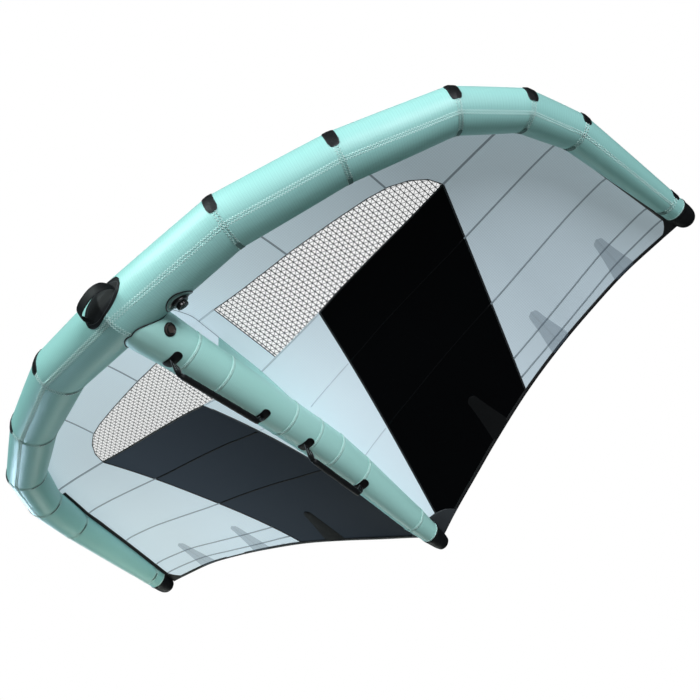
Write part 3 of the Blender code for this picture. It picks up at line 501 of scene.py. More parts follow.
pale_thread = thread_finish("pale_thread", (0.78, 0.96, 0.93), (0.66, 0.90, 0.86))
sides = ((1, "right"), (-1, "left"))
for side, word in sides:
    threads = []
    for row in (-1, 1):
        path = []
        distance = 0
        total = sum(lengths[:-1])
        while distance < total:
            i = 0
            left = distance
            while left > lengths[i] and i < RIM - 1:
                left -= lengths[i]
                i += 1
            zig = 1 if len(path) % 2 else -1
            angle = SEAM_ANGLE + (row * ROW_GAP + zig * STITCH_REACH) / TUBE_RADIUS
            path.append(mirrored(tube_point(i + left / lengths[i], angle, 0.0003), side))
            distance += STITCH_PITCH
        threads.append(thread("long_row", path, LONG_THREAD))
        for i in range(1 if side < 0 else 0, RIM):
            count = 2 * round(math.pi * radii[i] / STITCH_PITCH)
            path = []
            for k in range(count):
                step = row * ROW_GAP + (STITCH_REACH if k % 2 else -STITCH_REACH)
                place = beside(i, step) if i else abs(step) / lengths[0]
                point = tube_point(place, 2 * math.pi * k / count, 0.0004)
                path.append(mirrored(point, side * (-1 if i == 0 and step < 0 else 1)))
            threads.append(thread("ring_row", path, RING_THREAD, closed=True))
    piece = joined(f"tube_stitching_{word}", threads)
    dress(piece, "wing", "mint_cloth", pale_thread)

# Joint strips
# A dark strip of cloth over the seam of each joint, on the inner side of its bend, is painted shade
# for the crease there. Those on the left are narrower.
STRIP_HALF = 0.009
LEFT_STRIP_SHARE = 0.4
STRIP_FROM, STRIP_TO = math.radians(-68), math.radians(-20)
STRIP_STEPS = 16
STRIP_WALL = 0.0012
GLUED_OFF = 0.0014


def flat_cut(piece):
    """The smallest flat box that a piece was cut from, and its flat area, by its UV map."""
    mesh = piece.data
    layer = mesh.uv_layers.active.data
    spots = [tuple(item.uv) for item in layer]
    sizes = []
    for k in range(36):
        turn = math.pi * k / 72
        c, s = math.cos(turn), math.sin(turn)
        us = [u * c + v * s for u, v in spots]
        vs = [v * c - u * s for u, v in spots]
        sizes.append((max(us) - min(us), max(vs) - min(vs)))
    size = min(sizes, key=lambda pair: pair[0] * pair[1])
    area = 0
    for face in mesh.polygons:
        ring = [spots[k] for k in face.loop_indices]
        turned = zip(ring, ring[1:] + ring[:1])
        area += abs(sum(a[0] * b[1] - b[0] * a[1] for a, b in turned)) / 2
    return (max(min(size), 0.01), max(size)), area


def sewn_sheet(size, area):
    """Clamps a sheet's flat area to bounds set by its flat size; the result is not used."""
    area = min(max(area, 0.31 * size[0] * size[1]), size[0] * size[1])


def sewn_on(piece, wall, rests_on, slot, finish, *nodes):
    """Finishes a flat piece of the wing, with its wall if it gets one."""
    size, area = flat_cut(piece)
    if wall:
        thicken(piece, wall)
    dress(piece, "wing", slot, finish, *nodes)
    sewn_sheet(size, area)


# Dark teal at about a third of the tube's colour: painted shade at the joints.
joint_shade_cloth = cloth_finish(
    "joint_shade_cloth", (0.105, 0.215, 0.200), (0.090, 0.190, 0.175), 0.003, 0.2, 0.6, cloud=30.0
)
for side, word in sides:
    strip_half = STRIP_HALF * (1 if side > 0 else LEFT_STRIP_SHARE)
    for i in range(1, RIM):

        def strip_point(c, r):
            end = abs(r / STRIP_STEPS * 2 - 1)
            half = strip_half * math.sqrt(max(1 - max(end - 0.86, 0) ** 2 / 0.0225, 0.1))
            angle = STRIP_FROM + (STRIP_TO - STRIP_FROM) * r / STRIP_STEPS
            return mirrored(tube_point(beside(i, (c / 2 - 1) * half), angle, GLUED_OFF), side)

        reach = (STRIP_TO - STRIP_FROM) * radii[i]
        piece = skin(
            f"joint_shade_strip_{i}_{word}",
            4,
            STRIP_STEPS,
            strip_point,
            lambda c, r: ((c / 2 - 1) * strip_half, reach * r / STRIP_STEPS),
        )
        sewn_on(piece, STRIP_WALL, [front_tube], "dark_cloth", joint_shade_cloth)

# Scuff pads
# Moulded rubber pads are glued over the front of each joint, where the wing is dragged over
# stones. Each has a flat border and a field of small studs.
PAD_HALF = 0.021
PAD_WALL = 0.0025
PAD_MIDDLE = math.radians(184)
PAD_REACH = math.radians(31)
PAD_STEPS = 30
PAD_EDGE = 0.0007
OUTER_PAD_SHARE = 0.8


def rubber_finish(name, field, border, half, reach, studs):
    """Black rubber that turns paler and smooth at its border, by a UV map centred on the pad."""
    made, tree, shader, where = new_finish(name)
    parts = parted(tree, where)
    past_side = reckon(tree, "GREATER_THAN", reckon(tree, "ABSOLUTE", parts[0]), half)
    past_end = reckon(tree, "GREATER_THAN", reckon(tree, "ABSOLUTE", parts[1]), reach)
    edge = reckon(tree, "MAXIMUM", past_side, past_end)
    dots = add_node(
        tree, "ShaderNodeTexVoronoi", {"distance": "EUCLIDEAN"}, i0=where.outputs["UV"], i2=studs
    )
    stud = add_node(tree, "ShaderNodeMapRange", i0=dots.outputs[0], i1=0.25, i2=0.45, i3=1, i4=0)
    plain = reckon(tree, "SUBTRACT", 1.0, edge)
    lift = reckon(tree, "MULTIPLY", stud.outputs[0], plain)
    # Studs painted lighter on top and darker between them: painted highlight and painted shade over the
    # relief.
    dark, light = [c * 0.5 for c in field], [c * 1.8 for c in field]
    tone = blend_colour(tree, lift, (*dark, 1), (*light, 1))
    tone = blend_colour(tree, edge, tone, (*border, 1))
    tree.links.new(tone, shader.inputs["Base Color"])
    raise_relief(tree, shader, reckon(tree, "MAXIMUM", lift, edge), 0.6, 0.0006)
    shader.inputs["Roughness"].default_value = 0.5
    set_shine(made, 0.25)
    return made


pad_reach = PAD_REACH * radii[3]
field_half, field_reach = PAD_HALF * 0.84, pad_reach * 0.93
pad_rubber = rubber_finish(
    "pad_rubber", (0.006, 0.0065, 0.0075), (0.020, 0.023, 0.025), field_half, field_reach, 420.0
)
for side, word in sides:
    for i in range(1, RIM):
        turn_reach = PAD_REACH * (OUTER_PAD_SHARE if i > 4 else 1)

        def pad_point(c, r):
            end = abs(r / PAD_STEPS * 2 - 1)
            half = PAD_HALF * (1 - 0.28 * max(end - 0.6, 0) / 0.4)
            half *= math.sqrt(max(1 - (max(end - 0.9, 0) / 0.1) ** 2.0 * 0.75, 0))
            angle = PAD_MIDDLE + turn_reach * (r / PAD_STEPS * 2 - 1)
            return mirrored(tube_point(beside(i, (c / 4 - 1) * half), angle, GLUED_OFF), side)

        piece = skin(
            f"pad_{i}_{word}",
            8,
            PAD_STEPS,
            pad_point,
            lambda c, r: ((c / 4 - 1) * PAD_HALF, pad_reach * (r / PAD_STEPS * 2 - 1)),
        )
        thicken(piece, PAD_WALL)
        soft = piece.modifiers.new("edge", "BEVEL")
        soft.width = PAD_EDGE
        soft.segments = 2
        soft.angle_limit = math.radians(50)
        bpy.ops.object.modifier_apply(modifier="edge")
        bpy.ops.object.shade_smooth_by_angle(angle=math.radians(40))
        dress(piece, "wing", "black_rubber", pad_rubber, f"scuff_pad_{i}_{word}")

# Tip boots
# A rubber boot is glued over each end of the tube, with a rolled rim over the last of the cloth and
# a pale band of tape before it.
TIP_CAP = 0.088
BOOT_WALL = 0.0015
CLEAR = 0.0003
BOOT_STEPS = 48
TAPE_STEPS = 60
TAPE_BACK, TAPE_STEP = 0.0135, 0.003
TAPE_WALL = 0.0010
boot_shares = ((0, 1), (0.30, 0.98), (0.55, 0.93), (0.75, 0.83), (0.90, 0.64), (0.97, 0.42), (1, 0.20))
boot_radius = radii[RIM] + BOOT_WALL
boot_start = joints[RIM] + last_run * CLEAR


def table_value(table, at, column):
    """Straight reading of a table whose first column rises."""
    keys = [row[0] for row in table]
    if at <= keys[0]:
        return table[0][column]
    if at >= keys[-1]:
        return table[-1][column]
    i = bisect.bisect_right(keys, at) - 1
    part = (at - keys[i]) / (keys[i + 1] - keys[i])
    return table[i][column] + (table[i + 1][column] - table[i][column]) * part


def eased_value(table, at, column):
    """Smooth reading of a table whose first column rises, through each of its points."""
    keys = [row[0] for row in table]
    values = [row[column] for row in table]
    if at <= keys[0]:
        return values[0]
    if at >= keys[-1]:
        return values[-1]
    i = bisect.bisect_right(keys, at) - 1

    def slope(k):
        low = max(k - 1, 0)
        high = min(k + 1, len(keys) - 1)
        return (values[high] - values[low]) / (keys[high] - keys[low])

    span = keys[i + 1] - keys[i]
    t = (at - keys[i]) / span
    start = (1 + 2 * t) * (1 - t) ** 2 * values[i] + t * (1 - t) ** 2 * span * slope(i)
    end = t * t * (3 - 2 * t) * values[i + 1] + t * t * (t - 1) * span * slope(i + 1)
    return start + end


boot_profile = [(-0.15, 0.985), (-0.165, 1.01), (-0.15, 1.05), (-0.10, 1.055)]
boot_profile += [(-0.05, 1.03), (0.05, 1.0)]
boot_profile += [(k / 14, eased_value(boot_shares, k / 14, 1)) for k in range(2, 14)]
boot_profile += [(0.97, 0.42), (0.99, 0.22), (1.0, 0.0)]


def boot_point(i, j):
    """A point of the right boot, turned round the end of the tube."""
    _, rear, above = frames[RIM]
    along, wide = boot_profile[i]
    turn = 2 * math.pi * j / BOOT_STEPS
    way = rear * math.cos(turn) + above * math.sin(turn)
    return boot_start + last_run * (TIP_CAP * along) + way * (boot_radius * wide)


boot_rubber = rubber_finish(
    "boot_rubber", (0.007, 0.008, 0.009), (0.010, 0.011, 0.012), 1.0, 1.0, 300.0
)
for side, word in sides:
    piece = skin(
        f"boot_{word}",
        len(boot_profile) - 1,
        BOOT_STEPS,
        lambda i, j: mirrored(boot_point(i, j), side),
        lambda i, j: (TIP_CAP * boot_profile[i][0], 2 * math.pi * boot_radius * j / BOOT_STEPS),
        around=True,
        ends=True,
    )
    dress(piece, "wing", "black_rubber", boot_rubber, f"tip_boot_{word}")

    def tape_point(i, j):
        place = beside(RIM, -TAPE_BACK - TAPE_STEP * i)
        return mirrored(tube_point(place, 2 * math.pi * j / TAPE_STEPS, 0.0011), side)

    tape = skin(
        f"boot_band_{word}",
        2,
        TAPE_STEPS,
        tape_point,
        lambda i, j: (TAPE_STEP * i, 2 * math.pi * radii[RIM] * j / TAPE_STEPS),
        around=True,
    )
    tape_cloth = cloth_finish(
        f"band_cloth_{word}", (0.52, 0.80, 0.75), (0.46, 0.74, 0.69), 0.002, 0.2, 0.5, cloud=20.0
    )
    sewn_on(tape, TAPE_WALL, [front_tube], "mint_cloth", tape_cloth)

# Strut
# The middle tube of the same coated cloth, sewn from gently bent sections with a pale tape over
# each ring seam. Its front end is cut to the front tube and sewn to it under a black piping.
STRUT_LENGTH = 1.79
STRUT_RADIUS = 0.088
STRUT_DROP = 0.108
STRUT_ROWS = 64
STRUT_END = 0.947
SADDLE_GAP = 0.001
STRUT_PINCH = 0.0016
STRUT_PUCKER, STRUT_PUCKERS = 0.0006, 26
ROOT_PINCH, ROOT_FOLD = 0.0015, 0.0009
BAND_REACH, LAST_BAND_REACH, LAST_BAND = 0.0068, 0.003, 0.943
BAND_WALL, BAND_STITCH = 0.0010, 0.0045
strut_shares = (
    (0.022, -0.05, 1.09),
    (0.06, -0.05, 1.09),
    (0.10, 0, 1.06),
    (0.16, 0.035, 1.008),
    (0.255, 0.06, 0.983),
    (0.45, 0.112, 0.90),
    (0.53, 0.126, 0.882),
    (0.60, 0.078, 0.886),
    (0.69, -0.126, 0.82),
    (0.885, -0.745, 0.636),
    (STRUT_END, -0.91, 0.50),
)
strut_cap_shares = (
    (STRUT_END, -0.91, 0.51),
    (0.955, -0.925, 0.50),
    (0.985, -0.98, 0.42),
    (0.996, -0.995, 0.36),
    (1, -1, 0.30),
)
band_shares = [share for share, *_ in strut_shares[3:-1]]
strut_bands = [STRUT_LENGTH * share for share in band_shares]


def strut_centre(y):
    """The strut's height and radius at a setback."""
    table = strut_shares + strut_cap_shares[1:]
    share = y / STRUT_LENGTH
    return STRUT_DROP * table_value(table, share, 1), STRUT_RADIUS * table_value(table, share, 2)


def strut_point(y, angle, off):
    """A point on the strut's skin: angle 0 is its underside, and 90 degrees its right side."""
    height, radius = strut_centre(y)
    return Vector((math.sin(angle), 0, -math.cos(angle))) * (radius + off) + Vector((0, y, height))


def off_tube(point):
    """How far a point lies outside the first section of the front tube."""
    near = Vector((abs(point.x), point.y, point.z))
    along = near.dot(last_axis)
    radius = radii[0] + (radii[1] - radii[0]) * along / lengths[0]
    return (near - last_axis * along).length - radius


last_axis = (joints[1] - joints[0]).normalized()


def saddle(angle, off):
    """The setback at which the strut's skin meets the front tube."""
    near, far = STRUT_LENGTH * 0.01, STRUT_LENGTH * 0.16
    for _ in range(24):
        middle = (near + far) / 2
        if off_tube(strut_point(middle, angle, 0)) < off:
            near = middle
        else:
            far = middle
    return far


saddles = [saddle(2 * math.pi * j / STRUT_ROWS, SADDLE_GAP) for j in range(STRUT_ROWS)]
strut_stops = [band_shares[0]]
for a, b in zip(band_shares, band_shares[1:] + [STRUT_END]):
    near = [step / STRUT_LENGTH for step in (0.005, 0.012, 0.022)]
    strut_stops += [a + step for step in near]
    strut_stops += [a + (b - a) * share for share in (0.25, 0.4, 0.5, 0.6, 0.75)]
    strut_stops += [b - step for step in reversed(near)] + [b]
strut_stops = sorted(set(round(stop, 5) for stop in strut_stops if stop <= STRUT_END))
front_stops = (0, 0.03, 0.08, 0.15, 0.25, 0.37, 0.5, 0.63, 0.75, 0.85, 0.92, 0.97)


def strut_skin(i, j):
    """A point of the strut's blown-up cloth, drawn in at its seams."""
    angle = 2 * math.pi * j / STRUT_ROWS
    if i < len(front_stops):
        start = saddles[j % STRUT_ROWS]
        y = start + (strut_bands[0] - start) * front_stops[i]
        past = y - start
        root = ROOT_PINCH * math.exp(-((past / 0.010) ** 2))
        fold = ROOT_FOLD * math.exp(-past / 0.03) * math.sin(16 * angle) * min(past / 0.01, 1)
    else:
        y = STRUT_LENGTH * strut_stops[i - len(front_stops)]
        root = fold = 0
    nearest = min(abs(y - band) for band in strut_bands)
    pucker = STRUT_PUCKER * math.exp(-nearest / PUCKER_SPREAD) * math.sin(STRUT_PUCKERS * angle)
    pucker *= min(nearest / 0.008, 1)
    pinch = STRUT_PINCH * math.exp(-((nearest / RING_SPREAD) ** 2))
    return strut_point(y, angle, fold + pucker - root - pinch)


# The strut's cloth is the tube's cloth painted lighter, standing in for the stronger light on the strut:
# painted light.
strut_cloth_painted_lighter = cloth_finish(
    "strut_cloth_painted_lighter", (0.450, 0.800, 0.740), (0.420, 0.770, 0.705), CLOTH_GRID, CLOTH_YARN, CLOTH_ROUGH
)
ribbed(strut_cloth_painted_lighter, RIB_PITCH, 0.06)
strut = skin(
    "strut_tube",
    len(front_stops) + len(strut_stops) - 1,
    STRUT_ROWS,
    strut_skin,
    lambda i, j: (strut_skin(i, j).y, 2 * math.pi * STRUT_RADIUS * j / STRUT_ROWS),
    around=True,
    ends=True,
)
dress(strut, "wing", "mint_cloth", strut_cloth_painted_lighter, "strut")

piping = [
    strut_point(saddles[j], 2 * math.pi * j / STRUT_ROWS, 0.0006) for j in range(STRUT_ROWS)
]
black_thread = thread_finish("black_thread", (0.012, 0.012, 0.013), (0.03, 0.03, 0.032))
piece = thread("saddle_piping", piping, radius=0.0026, closed=True)
dress(piece, "wing", "mint_cloth", black_thread)

band_tape = cloth_finish(
    "band_tape", (0.58, 0.92, 0.86), (0.54, 0.88, 0.81), 0.002, 0.25, 0.5, cloud=20.0
)
band_threads = []
for k, y in enumerate(strut_bands + [STRUT_LENGTH * LAST_BAND]):
    reach = LAST_BAND_REACH if k == len(strut_bands) else BAND_REACH
    radius = strut_centre(y)[1]
    piece = skin(
        f"strut_band_{k}",
        4,
        STRUT_ROWS,
        lambda i, j: strut_point(y + (i / 2 - 1) * reach, 2 * math.pi * j / STRUT_ROWS, 0.0002),
        lambda i, j: ((i / 2 - 1) * reach, 2 * math.pi * radius * j / STRUT_ROWS),
        around=True,
    )
    sewn_on(piece, BAND_WALL, [strut], "mint_cloth", band_tape)
    count = 2 * round(math.pi * radius / BAND_STITCH)
    path = []
    for step in range(count):
        zig = (0.0028 if step % 2 else -0.0028) * reach / 0.005
        path.append(strut_point(y + zig, 2 * math.pi * step / count, 0.0012))
    band_threads.append(thread("band_row", path, radius=0.0006, closed=True))
piece = joined("strut_stitching", band_threads)
dress(piece, "wing", "mint_cloth", pale_thread)

# Strut end cap
# A black rubber cap is glued over the narrow end of the strut, with a flat face and a round rim.
CAP_STEPS = 48
cap_profile = [(0.9455, 0.985), (0.9445, 1.02), (0.948, 1.035), (0.952, 1.02)]
cap_profile += [(0.952 + 0.044 * k / 8, 1.0) for k in range(1, 9)]
cap_profile += [(0.9985, 0.96), (1.0, 0.88), (1.0, 0.55), (0.998, 0.5), (0.998, 0.25), (0.998, 0.0)]


def cap_point(i, j):
    """A point of the strut's cap, which follows the strut's taper."""
    along, wide = cap_profile[i]
    height, radius = strut_centre(STRUT_LENGTH * min(along, 1))
    turn = 2 * math.pi * j / CAP_STEPS
    way = Vector((math.sin(turn), 0, -math.cos(turn)))
    return Vector((0, STRUT_LENGTH * along, height)) + way * (radius * wide)


piece = skin(
    "end_cap",
    len(cap_profile) - 1,
    CAP_STEPS,
    cap_point,
    lambda i, j: (STRUT_LENGTH * cap_profile[i][0] - 10, 0.3 * j / CAP_STEPS - 10),
    around=True,
    ends=True,
)
cap_rubber = rubber_finish(
    "cap_rubber", (0.009, 0.010, 0.011), (0.012, 0.013, 0.014), 100.0, 100.0, 300.0
)
dress(piece, "wing", "black_rubber", cap_rubber, "strut_end_cap")

# Canopy
# One skin of thin ripstop, sewn from panels and set to the top rear of the front tube. It rises
# over the strut on a web, and its cloth draws into small puckers near the front tube.
CANOPY = 0.002
CAMBER = 0.16
HEM = 0.010
PATCH = 0.0015
SEWN_GAP = 0.0012
SHOULDER = 0.35
ATTACH_ANGLE = math.radians(60)
FRONT_PUCKER, FRONT_PUCKER_SPREAD, RIPPLE = 0.0008, 0.05, 0.0010
CANOPY_GRID, CANOPY_YARN = 0.0088, 0.10
RIPSTOP_GRID, RIPSTOP_YARN = 0.0062, 0.09
THREAD_PITCH = 0.0195
attach_shares = (1, 1, 1, 0.95, 0.8, 0.5, 0.2, 0.18, 0.15)
WEB_HEIGHT = 0.138
web_shares = (
    (0.084, 0.47),
    (0.168, 1),
    (0.21, 0.98),
    (0.255, 0.92),
    (0.298, 0.86),
    (0.384, 0.73),
    (0.456, 0.51),
    (0.56, 0.18),
    (0.637, 0),
    (0.732, 0),
    (0.905, 0),
    (0.955, 0),
    (0.985, 0),
    (1, 0.05),
)
camber_shares = (
    (0, 1),
    (0.2, 0.72),
    (0.3, 0.68),
    (0.55, 0.40),
    (0.65, 0.32),
    (0.81, 0.20),
    (0.94, 0.08),
    (1, 0),
)
trail_shares = (
    (0, 0, 0),
    (0.07, 0.15, 0.085),
    (0.18, 0.34, 0.22),
    (0.288, 0.52, 0.355),
    (0.435, 0.717, 0.535),
    (0.583, 0.86, 0.69),
    (0.70, 0.917, 0.81),
    (0.82, 0.943, 0.925),
    (0.943, 0.974, 0.985),
    (1, 1, 1),
)
WINDOW_OUT = 1.03
SEAM_MIDDLE = 0.685
SEAM_OUT = 0.656
NOSE_SEAM = 0.345
PANEL_IN = 0.344
TAIL_HALF = 0.030
PANEL_TAIL = 0.681
CORNER = 0.050
rim_shares = (
    (0.083, 0.53),
    (0.30, 0.567),
    (0.433, 0.604),
    (0.64, 0.666),
    (0.777, 0.713),
    (0.859, 0.755),
    (0.927, 0.823),
    (0.976, 0.907),
    (1, 1),
)
canopy_off = 2 * CLEAR + CANOPY / 2
attach = [ring_point(i, ATTACH_ANGLE * attach_shares[i], canopy_off) for i in range(RIM)]
run, rear, above = frames[RIM]
rim_angle = ATTACH_ANGLE * attach_shares[RIM]
attach_way = rear * math.cos(rim_angle) + above * math.sin(rim_angle)
attach.append(joints[RIM] + attach_way * (boot_radius + canopy_off))
corner_angle = ATTACH_ANGLE * attach_shares[-1]
corner_way = rear * math.cos(corner_angle) + above * math.sin(corner_angle)
corner_at = boot_start + last_run * (TIP_CAP * boot_shares[3][0])
attach.append(corner_at + corner_way * (boot_radius * boot_shares[2][1] + canopy_off))
CORNER_PLACE = len(attach) - 1
tip = attach[-1]
crest = CLEAR + SEWN_GAP + PATCH + CANOPY / 2


def edge_point(place):
    """A point of the canopy's front edge: a place counts the joints of the tube."""
    i = min(int(place), CORNER_PLACE - 1)
    return attach[i].lerp(attach[i + 1], place - i)


def strut_top(y):
    """The height of the strut's crest at a setback."""
    height, radius = strut_centre(y)
    return height + radius


centre_table = [(attach[0].y, attach[0].z)]
for along, high in web_shares:
    y = STRUT_LENGTH * along
    centre_table.append((y, strut_top(y) + crest + WEB_HEIGHT * high))
tail_height = centre_table[-1][1]
front_table = [tuple(point) for point in attach]


def trail(x):
    """The trailing edge's setback and height at a distance from the strut."""
    share = abs(x) / tip.x
    y = STRUT_LENGTH + (tip.y - STRUT_LENGTH) * eased_value(trail_shares, share, 1)
    z = tail_height + (tip.z - tail_height) * eased_value(trail_shares, share, 2)
    return y, z


def chord_share(x, y):
    """How far a plan point lies from the front edge (0) to the trailing edge (1)."""
    front_y = table_value(front_table, x, 1)
    rear_y, _ = trail(x)
    chord = max(rear_y - front_y, HEM)
    return min(max((y - front_y) / chord, 0), 1)


def plain_height(x, t):
    """The canopy's height at a share of its chord, before the web pulls on it."""
    front_z = table_value(front_table, x, 2)
    _, rear_z = trail(x)
    crown = t**0.65 * (1 - t) ** 0.9 / 0.347
    rise = CAMBER * eased_value(camber_shares, x / tip.x, 1) * crown
    return front_z + (rear_z - front_z) * t + rise


def canopy_height(x, y):
    """The canopy's smooth height, with the web's pull near the middle."""
    x = abs(x)
    t = chord_share(x, y)
    height = plain_height(x, t)
    if x < SHOULDER:
        middle_y = attach[0].y + t * (STRUT_LENGTH - attach[0].y)
        pull = (1 - x / SHOULDER) ** 2
        height += pull * (eased_value(centre_table, middle_y, 1) - plain_height(0, t))
    return height


def cloth_height(x, y):
    """The canopy's surface with its puckers along the front tube and its slack ripples."""
    from_front = y - table_value(front_table, abs(x), 1)
    near_front = math.exp(-max(from_front, 0) / FRONT_PUCKER_SPREAD)
    pucker = FRONT_PUCKER * near_front * math.sin(abs(x) * 90)
    ripple = RIPPLE * math.sin(7 * x + 4 * y) * math.sin(9 * y - 3 * abs(x))
    hold_in = min(max(from_front, 0) / 0.03, 1) * min(abs(x) / 0.06, 1)
    return canopy_height(x, y) + (pucker + ripple) * hold_in


def cloth_point(plan, off=0.0):
    """A plan point on the canopy's cloth, or off it by a distance upwards."""
    return Vector((plan[0], plan[1], cloth_height(plan[0], plan[1]) + off))


span_table = [(0, 0)]
for a, b in zip(attach, attach[1:]):
    span_table.append((b.x, span_table[-1][1] + math.hypot(b.x - a.x, b.z - a.z)))


def cloth_metres(plan):
    """The distance along the span, measured on the cloth, and the setback."""
    return (math.copysign(table_value(span_table, abs(plan[0]), 1), plan[0]), plan[1])


def line(start, end, steps):
    """Plan points at even steps on a straight line."""
    return [
        (start[0] + (end[0] - start[0]) * k / steps, start[1] + (end[1] - start[1]) * k / steps)
        for k in range(steps + 1)
    ]


def evenly(points, steps):
    """Points at even distances along a plan outline."""
    far = [0]
    for a, b in zip(points, points[1:]):
        far.append(far[-1] + math.hypot(b[0] - a[0], b[1] - a[1]))
    table = [(length, *point) for length, point in zip(far, points)]
    return [
        (table_value(table, far[-1] * k / steps, 1), table_value(table, far[-1] * k / steps, 2))
        for k in range(steps + 1)
    ]


def edge_run(places, counts):
    """Plan points along the canopy's front edge, with each joint among them."""
    found = [edge_point(places[0])]
    for a, b, steps in zip(places, places[1:], counts):
        for k in range(steps):
            found.append(edge_point(a + (b - a) * (k + 1) / steps))
    return [(point.x, point.y) for point in found]


def seam_place(x):
    """The plan point of the seam behind the window."""
    return (x, SEAM_MIDDLE + (SEAM_OUT - SEAM_MIDDLE) * abs(x) / WINDOW_OUT)


def hem_place(x):
    """The plan point where the panels meet the hem."""
    return (x, trail(x)[0] - HEM)


def ruled_plan(front, back, left, right):
    """A grid of plan points, ruled between its four sides."""
    columns, rows = len(front) - 1, len(left) - 1
    plan = {}
    for i in range(columns + 1):
        for j in range(rows + 1):
            u, v = i / columns, j / rows
            place = []
            for axis in (0, 1):
                ruled = (1 - v) * front[i][axis] + v * back[i][axis]
                ruled += (1 - u) * left[j][axis] + u * right[j][axis]
                ruled -= (1 - u) * (1 - v) * front[0][axis] + u * (1 - v) * front[-1][axis]
                ruled -= (1 - u) * v * back[0][axis] + u * v * right[-1][axis]
                place.append(ruled)
            plan[i, j] = tuple(place)
    return plan


def panel(name, slot, finish, outline, node, side=1):
    """A panel of the canopy, on the cloth's surface between its front, rear, left and right side."""
    plan = ruled_plan(*outline)
    piece = skin(
        name,
        len(outline[0]) - 1,
        len(outline[2]) - 1,
        lambda i, j: mirrored(cloth_point(plan[i, j]), side),
        lambda i, j: cloth_metres((plan[i, j][0] * side, plan[i, j][1])),
    )
    sewn_on(piece, 0, [front_tube, strut], slot, finish, node)
    return piece


def glow(tree, shader, share, colour, strength):
    """Paints a glow into cloth as emission where its share is above zero: painted light, not a lamp."""
    lit = blend_colour(tree, share, (0, 0, 0, 1), (*colour, 1))
    tree.links.new(lit, shader.inputs["Emission Color"])
    shader.inputs["Emission Strength"].default_value = strength


def painted_through_glow(material, colour, strength):
    """Paints a glow into thin cloth as a stand-in for the light that comes through it, strongest beside the
    strut and to the left: painted light.
    """
    tree, shader, where = opened(material)
    x = parted(tree, where, "Object")[0]
    to_right = add_node(tree, "ShaderNodeMapRange", i0=x, i1=0.15, i2=1.0, i3=1.0, i4=0.46)
    to_left = add_node(tree, "ShaderNodeMapRange", i0=x, i1=-1.4, i2=-0.2, i3=0.88, i4=1.0)
    share = reckon(tree, "MINIMUM", to_right.outputs[0], to_left.outputs[0])
    glow(tree, shader, share, colour, strength)


seam_end = 4.0
for _ in range(40):
    point = edge_point(seam_end)
    seam_end += (SEAM_OUT - point.y) / (attach[5].y - attach[4].y)

canopy_cloth = cloth_finish(
    "canopy_cloth",
    (0.440, 0.530, 0.585),
    (0.410, 0.495, 0.550),
    CANOPY_GRID,
    CANOPY_YARN,
    0.5,
    line_dark=0.24,
    cloud=1.2,
)
set_shine(canopy_cloth, 0.25)
# Painted glow on the canopy: emission for light, brightest beside the strut and on the left.
painted_through_glow(canopy_cloth, (0.41, 0.485, 0.525), 0.93)

# Painted glow: the left black panel gets a faint emission that stands in for the sheen of light on it, and
# the right one gets none
black_ripstop = cloth_finish(
    "black_ripstop",
    (0.0010, 0.0013, 0.0018),
    (0.0006, 0.0008, 0.0012),
    RIPSTOP_GRID,
    RIPSTOP_YARN,
    0.36,
    cloud=1.2,
)
set_shine(black_ripstop, 0.05)
tree, shader, where = opened(black_ripstop)
x = parted(tree, where, "Object")[0]
# The painted glow is strongest at the left tip, fades towards the middle and stops there.
through = add_node(tree, "ShaderNodeMapRange", i0=x, i1=-0.9, i2=0.0, i3=1.0, i4=0.3)
share = reckon(tree, "MULTIPLY", reckon(tree, "LESS_THAN", x, 0.0), through.outputs[0])
glow(tree, shader, share, (0.034, 0.047, 0.062), 0.8)

# The window film is clear, with a three-way grid of dark threads sealed in it
window_film, tree, shader, where = new_finish("window_film")
parts = parted(tree, where)
on_thread = 0.0
thread_ways = ((1.0, 0.0, 0.088, 1.0), (-0.5, 0.866, 0.07, 0.8), (-0.5, -0.866, 0.07, 0.8))
for ux, uy, near, weight in thread_ways:
    along = reckon(tree, "MULTIPLY", parts[0], ux / THREAD_PITCH)
    along = reckon(tree, "MULTIPLY_ADD", parts[1], uy / THREAD_PITCH, along)
    fold = reckon(tree, "PINGPONG", along, 0.5)
    on_line = reckon(tree, "MULTIPLY", reckon(tree, "LESS_THAN", fold, near), weight)
    on_thread = on_line if on_thread == 0.0 else reckon(tree, "MAXIMUM", on_thread, on_line)
haze = place_group(tree, cloudy, i0=where.outputs["Object"], i1=2.0)
clear = blend_colour(tree, haze.outputs[0], (0.80, 0.86, 0.88, 1), (0.70, 0.78, 0.80, 1))
tone = blend_colour(tree, on_thread, clear, (0.020, 0.026, 0.028, 1))
tree.links.new(tone, shader.inputs["Base Color"])
solid = add_node(tree, "ShaderNodeMapRange", i0=on_thread, i1=0.0, i2=1.0, i3=0.17, i4=1.0)
tree.links.new(solid.outputs[0], shader.inputs["Alpha"])
raise_relief(tree, shader, on_thread, 0.4, 0.0004)
shader.inputs["Roughness"].default_value = 0.22

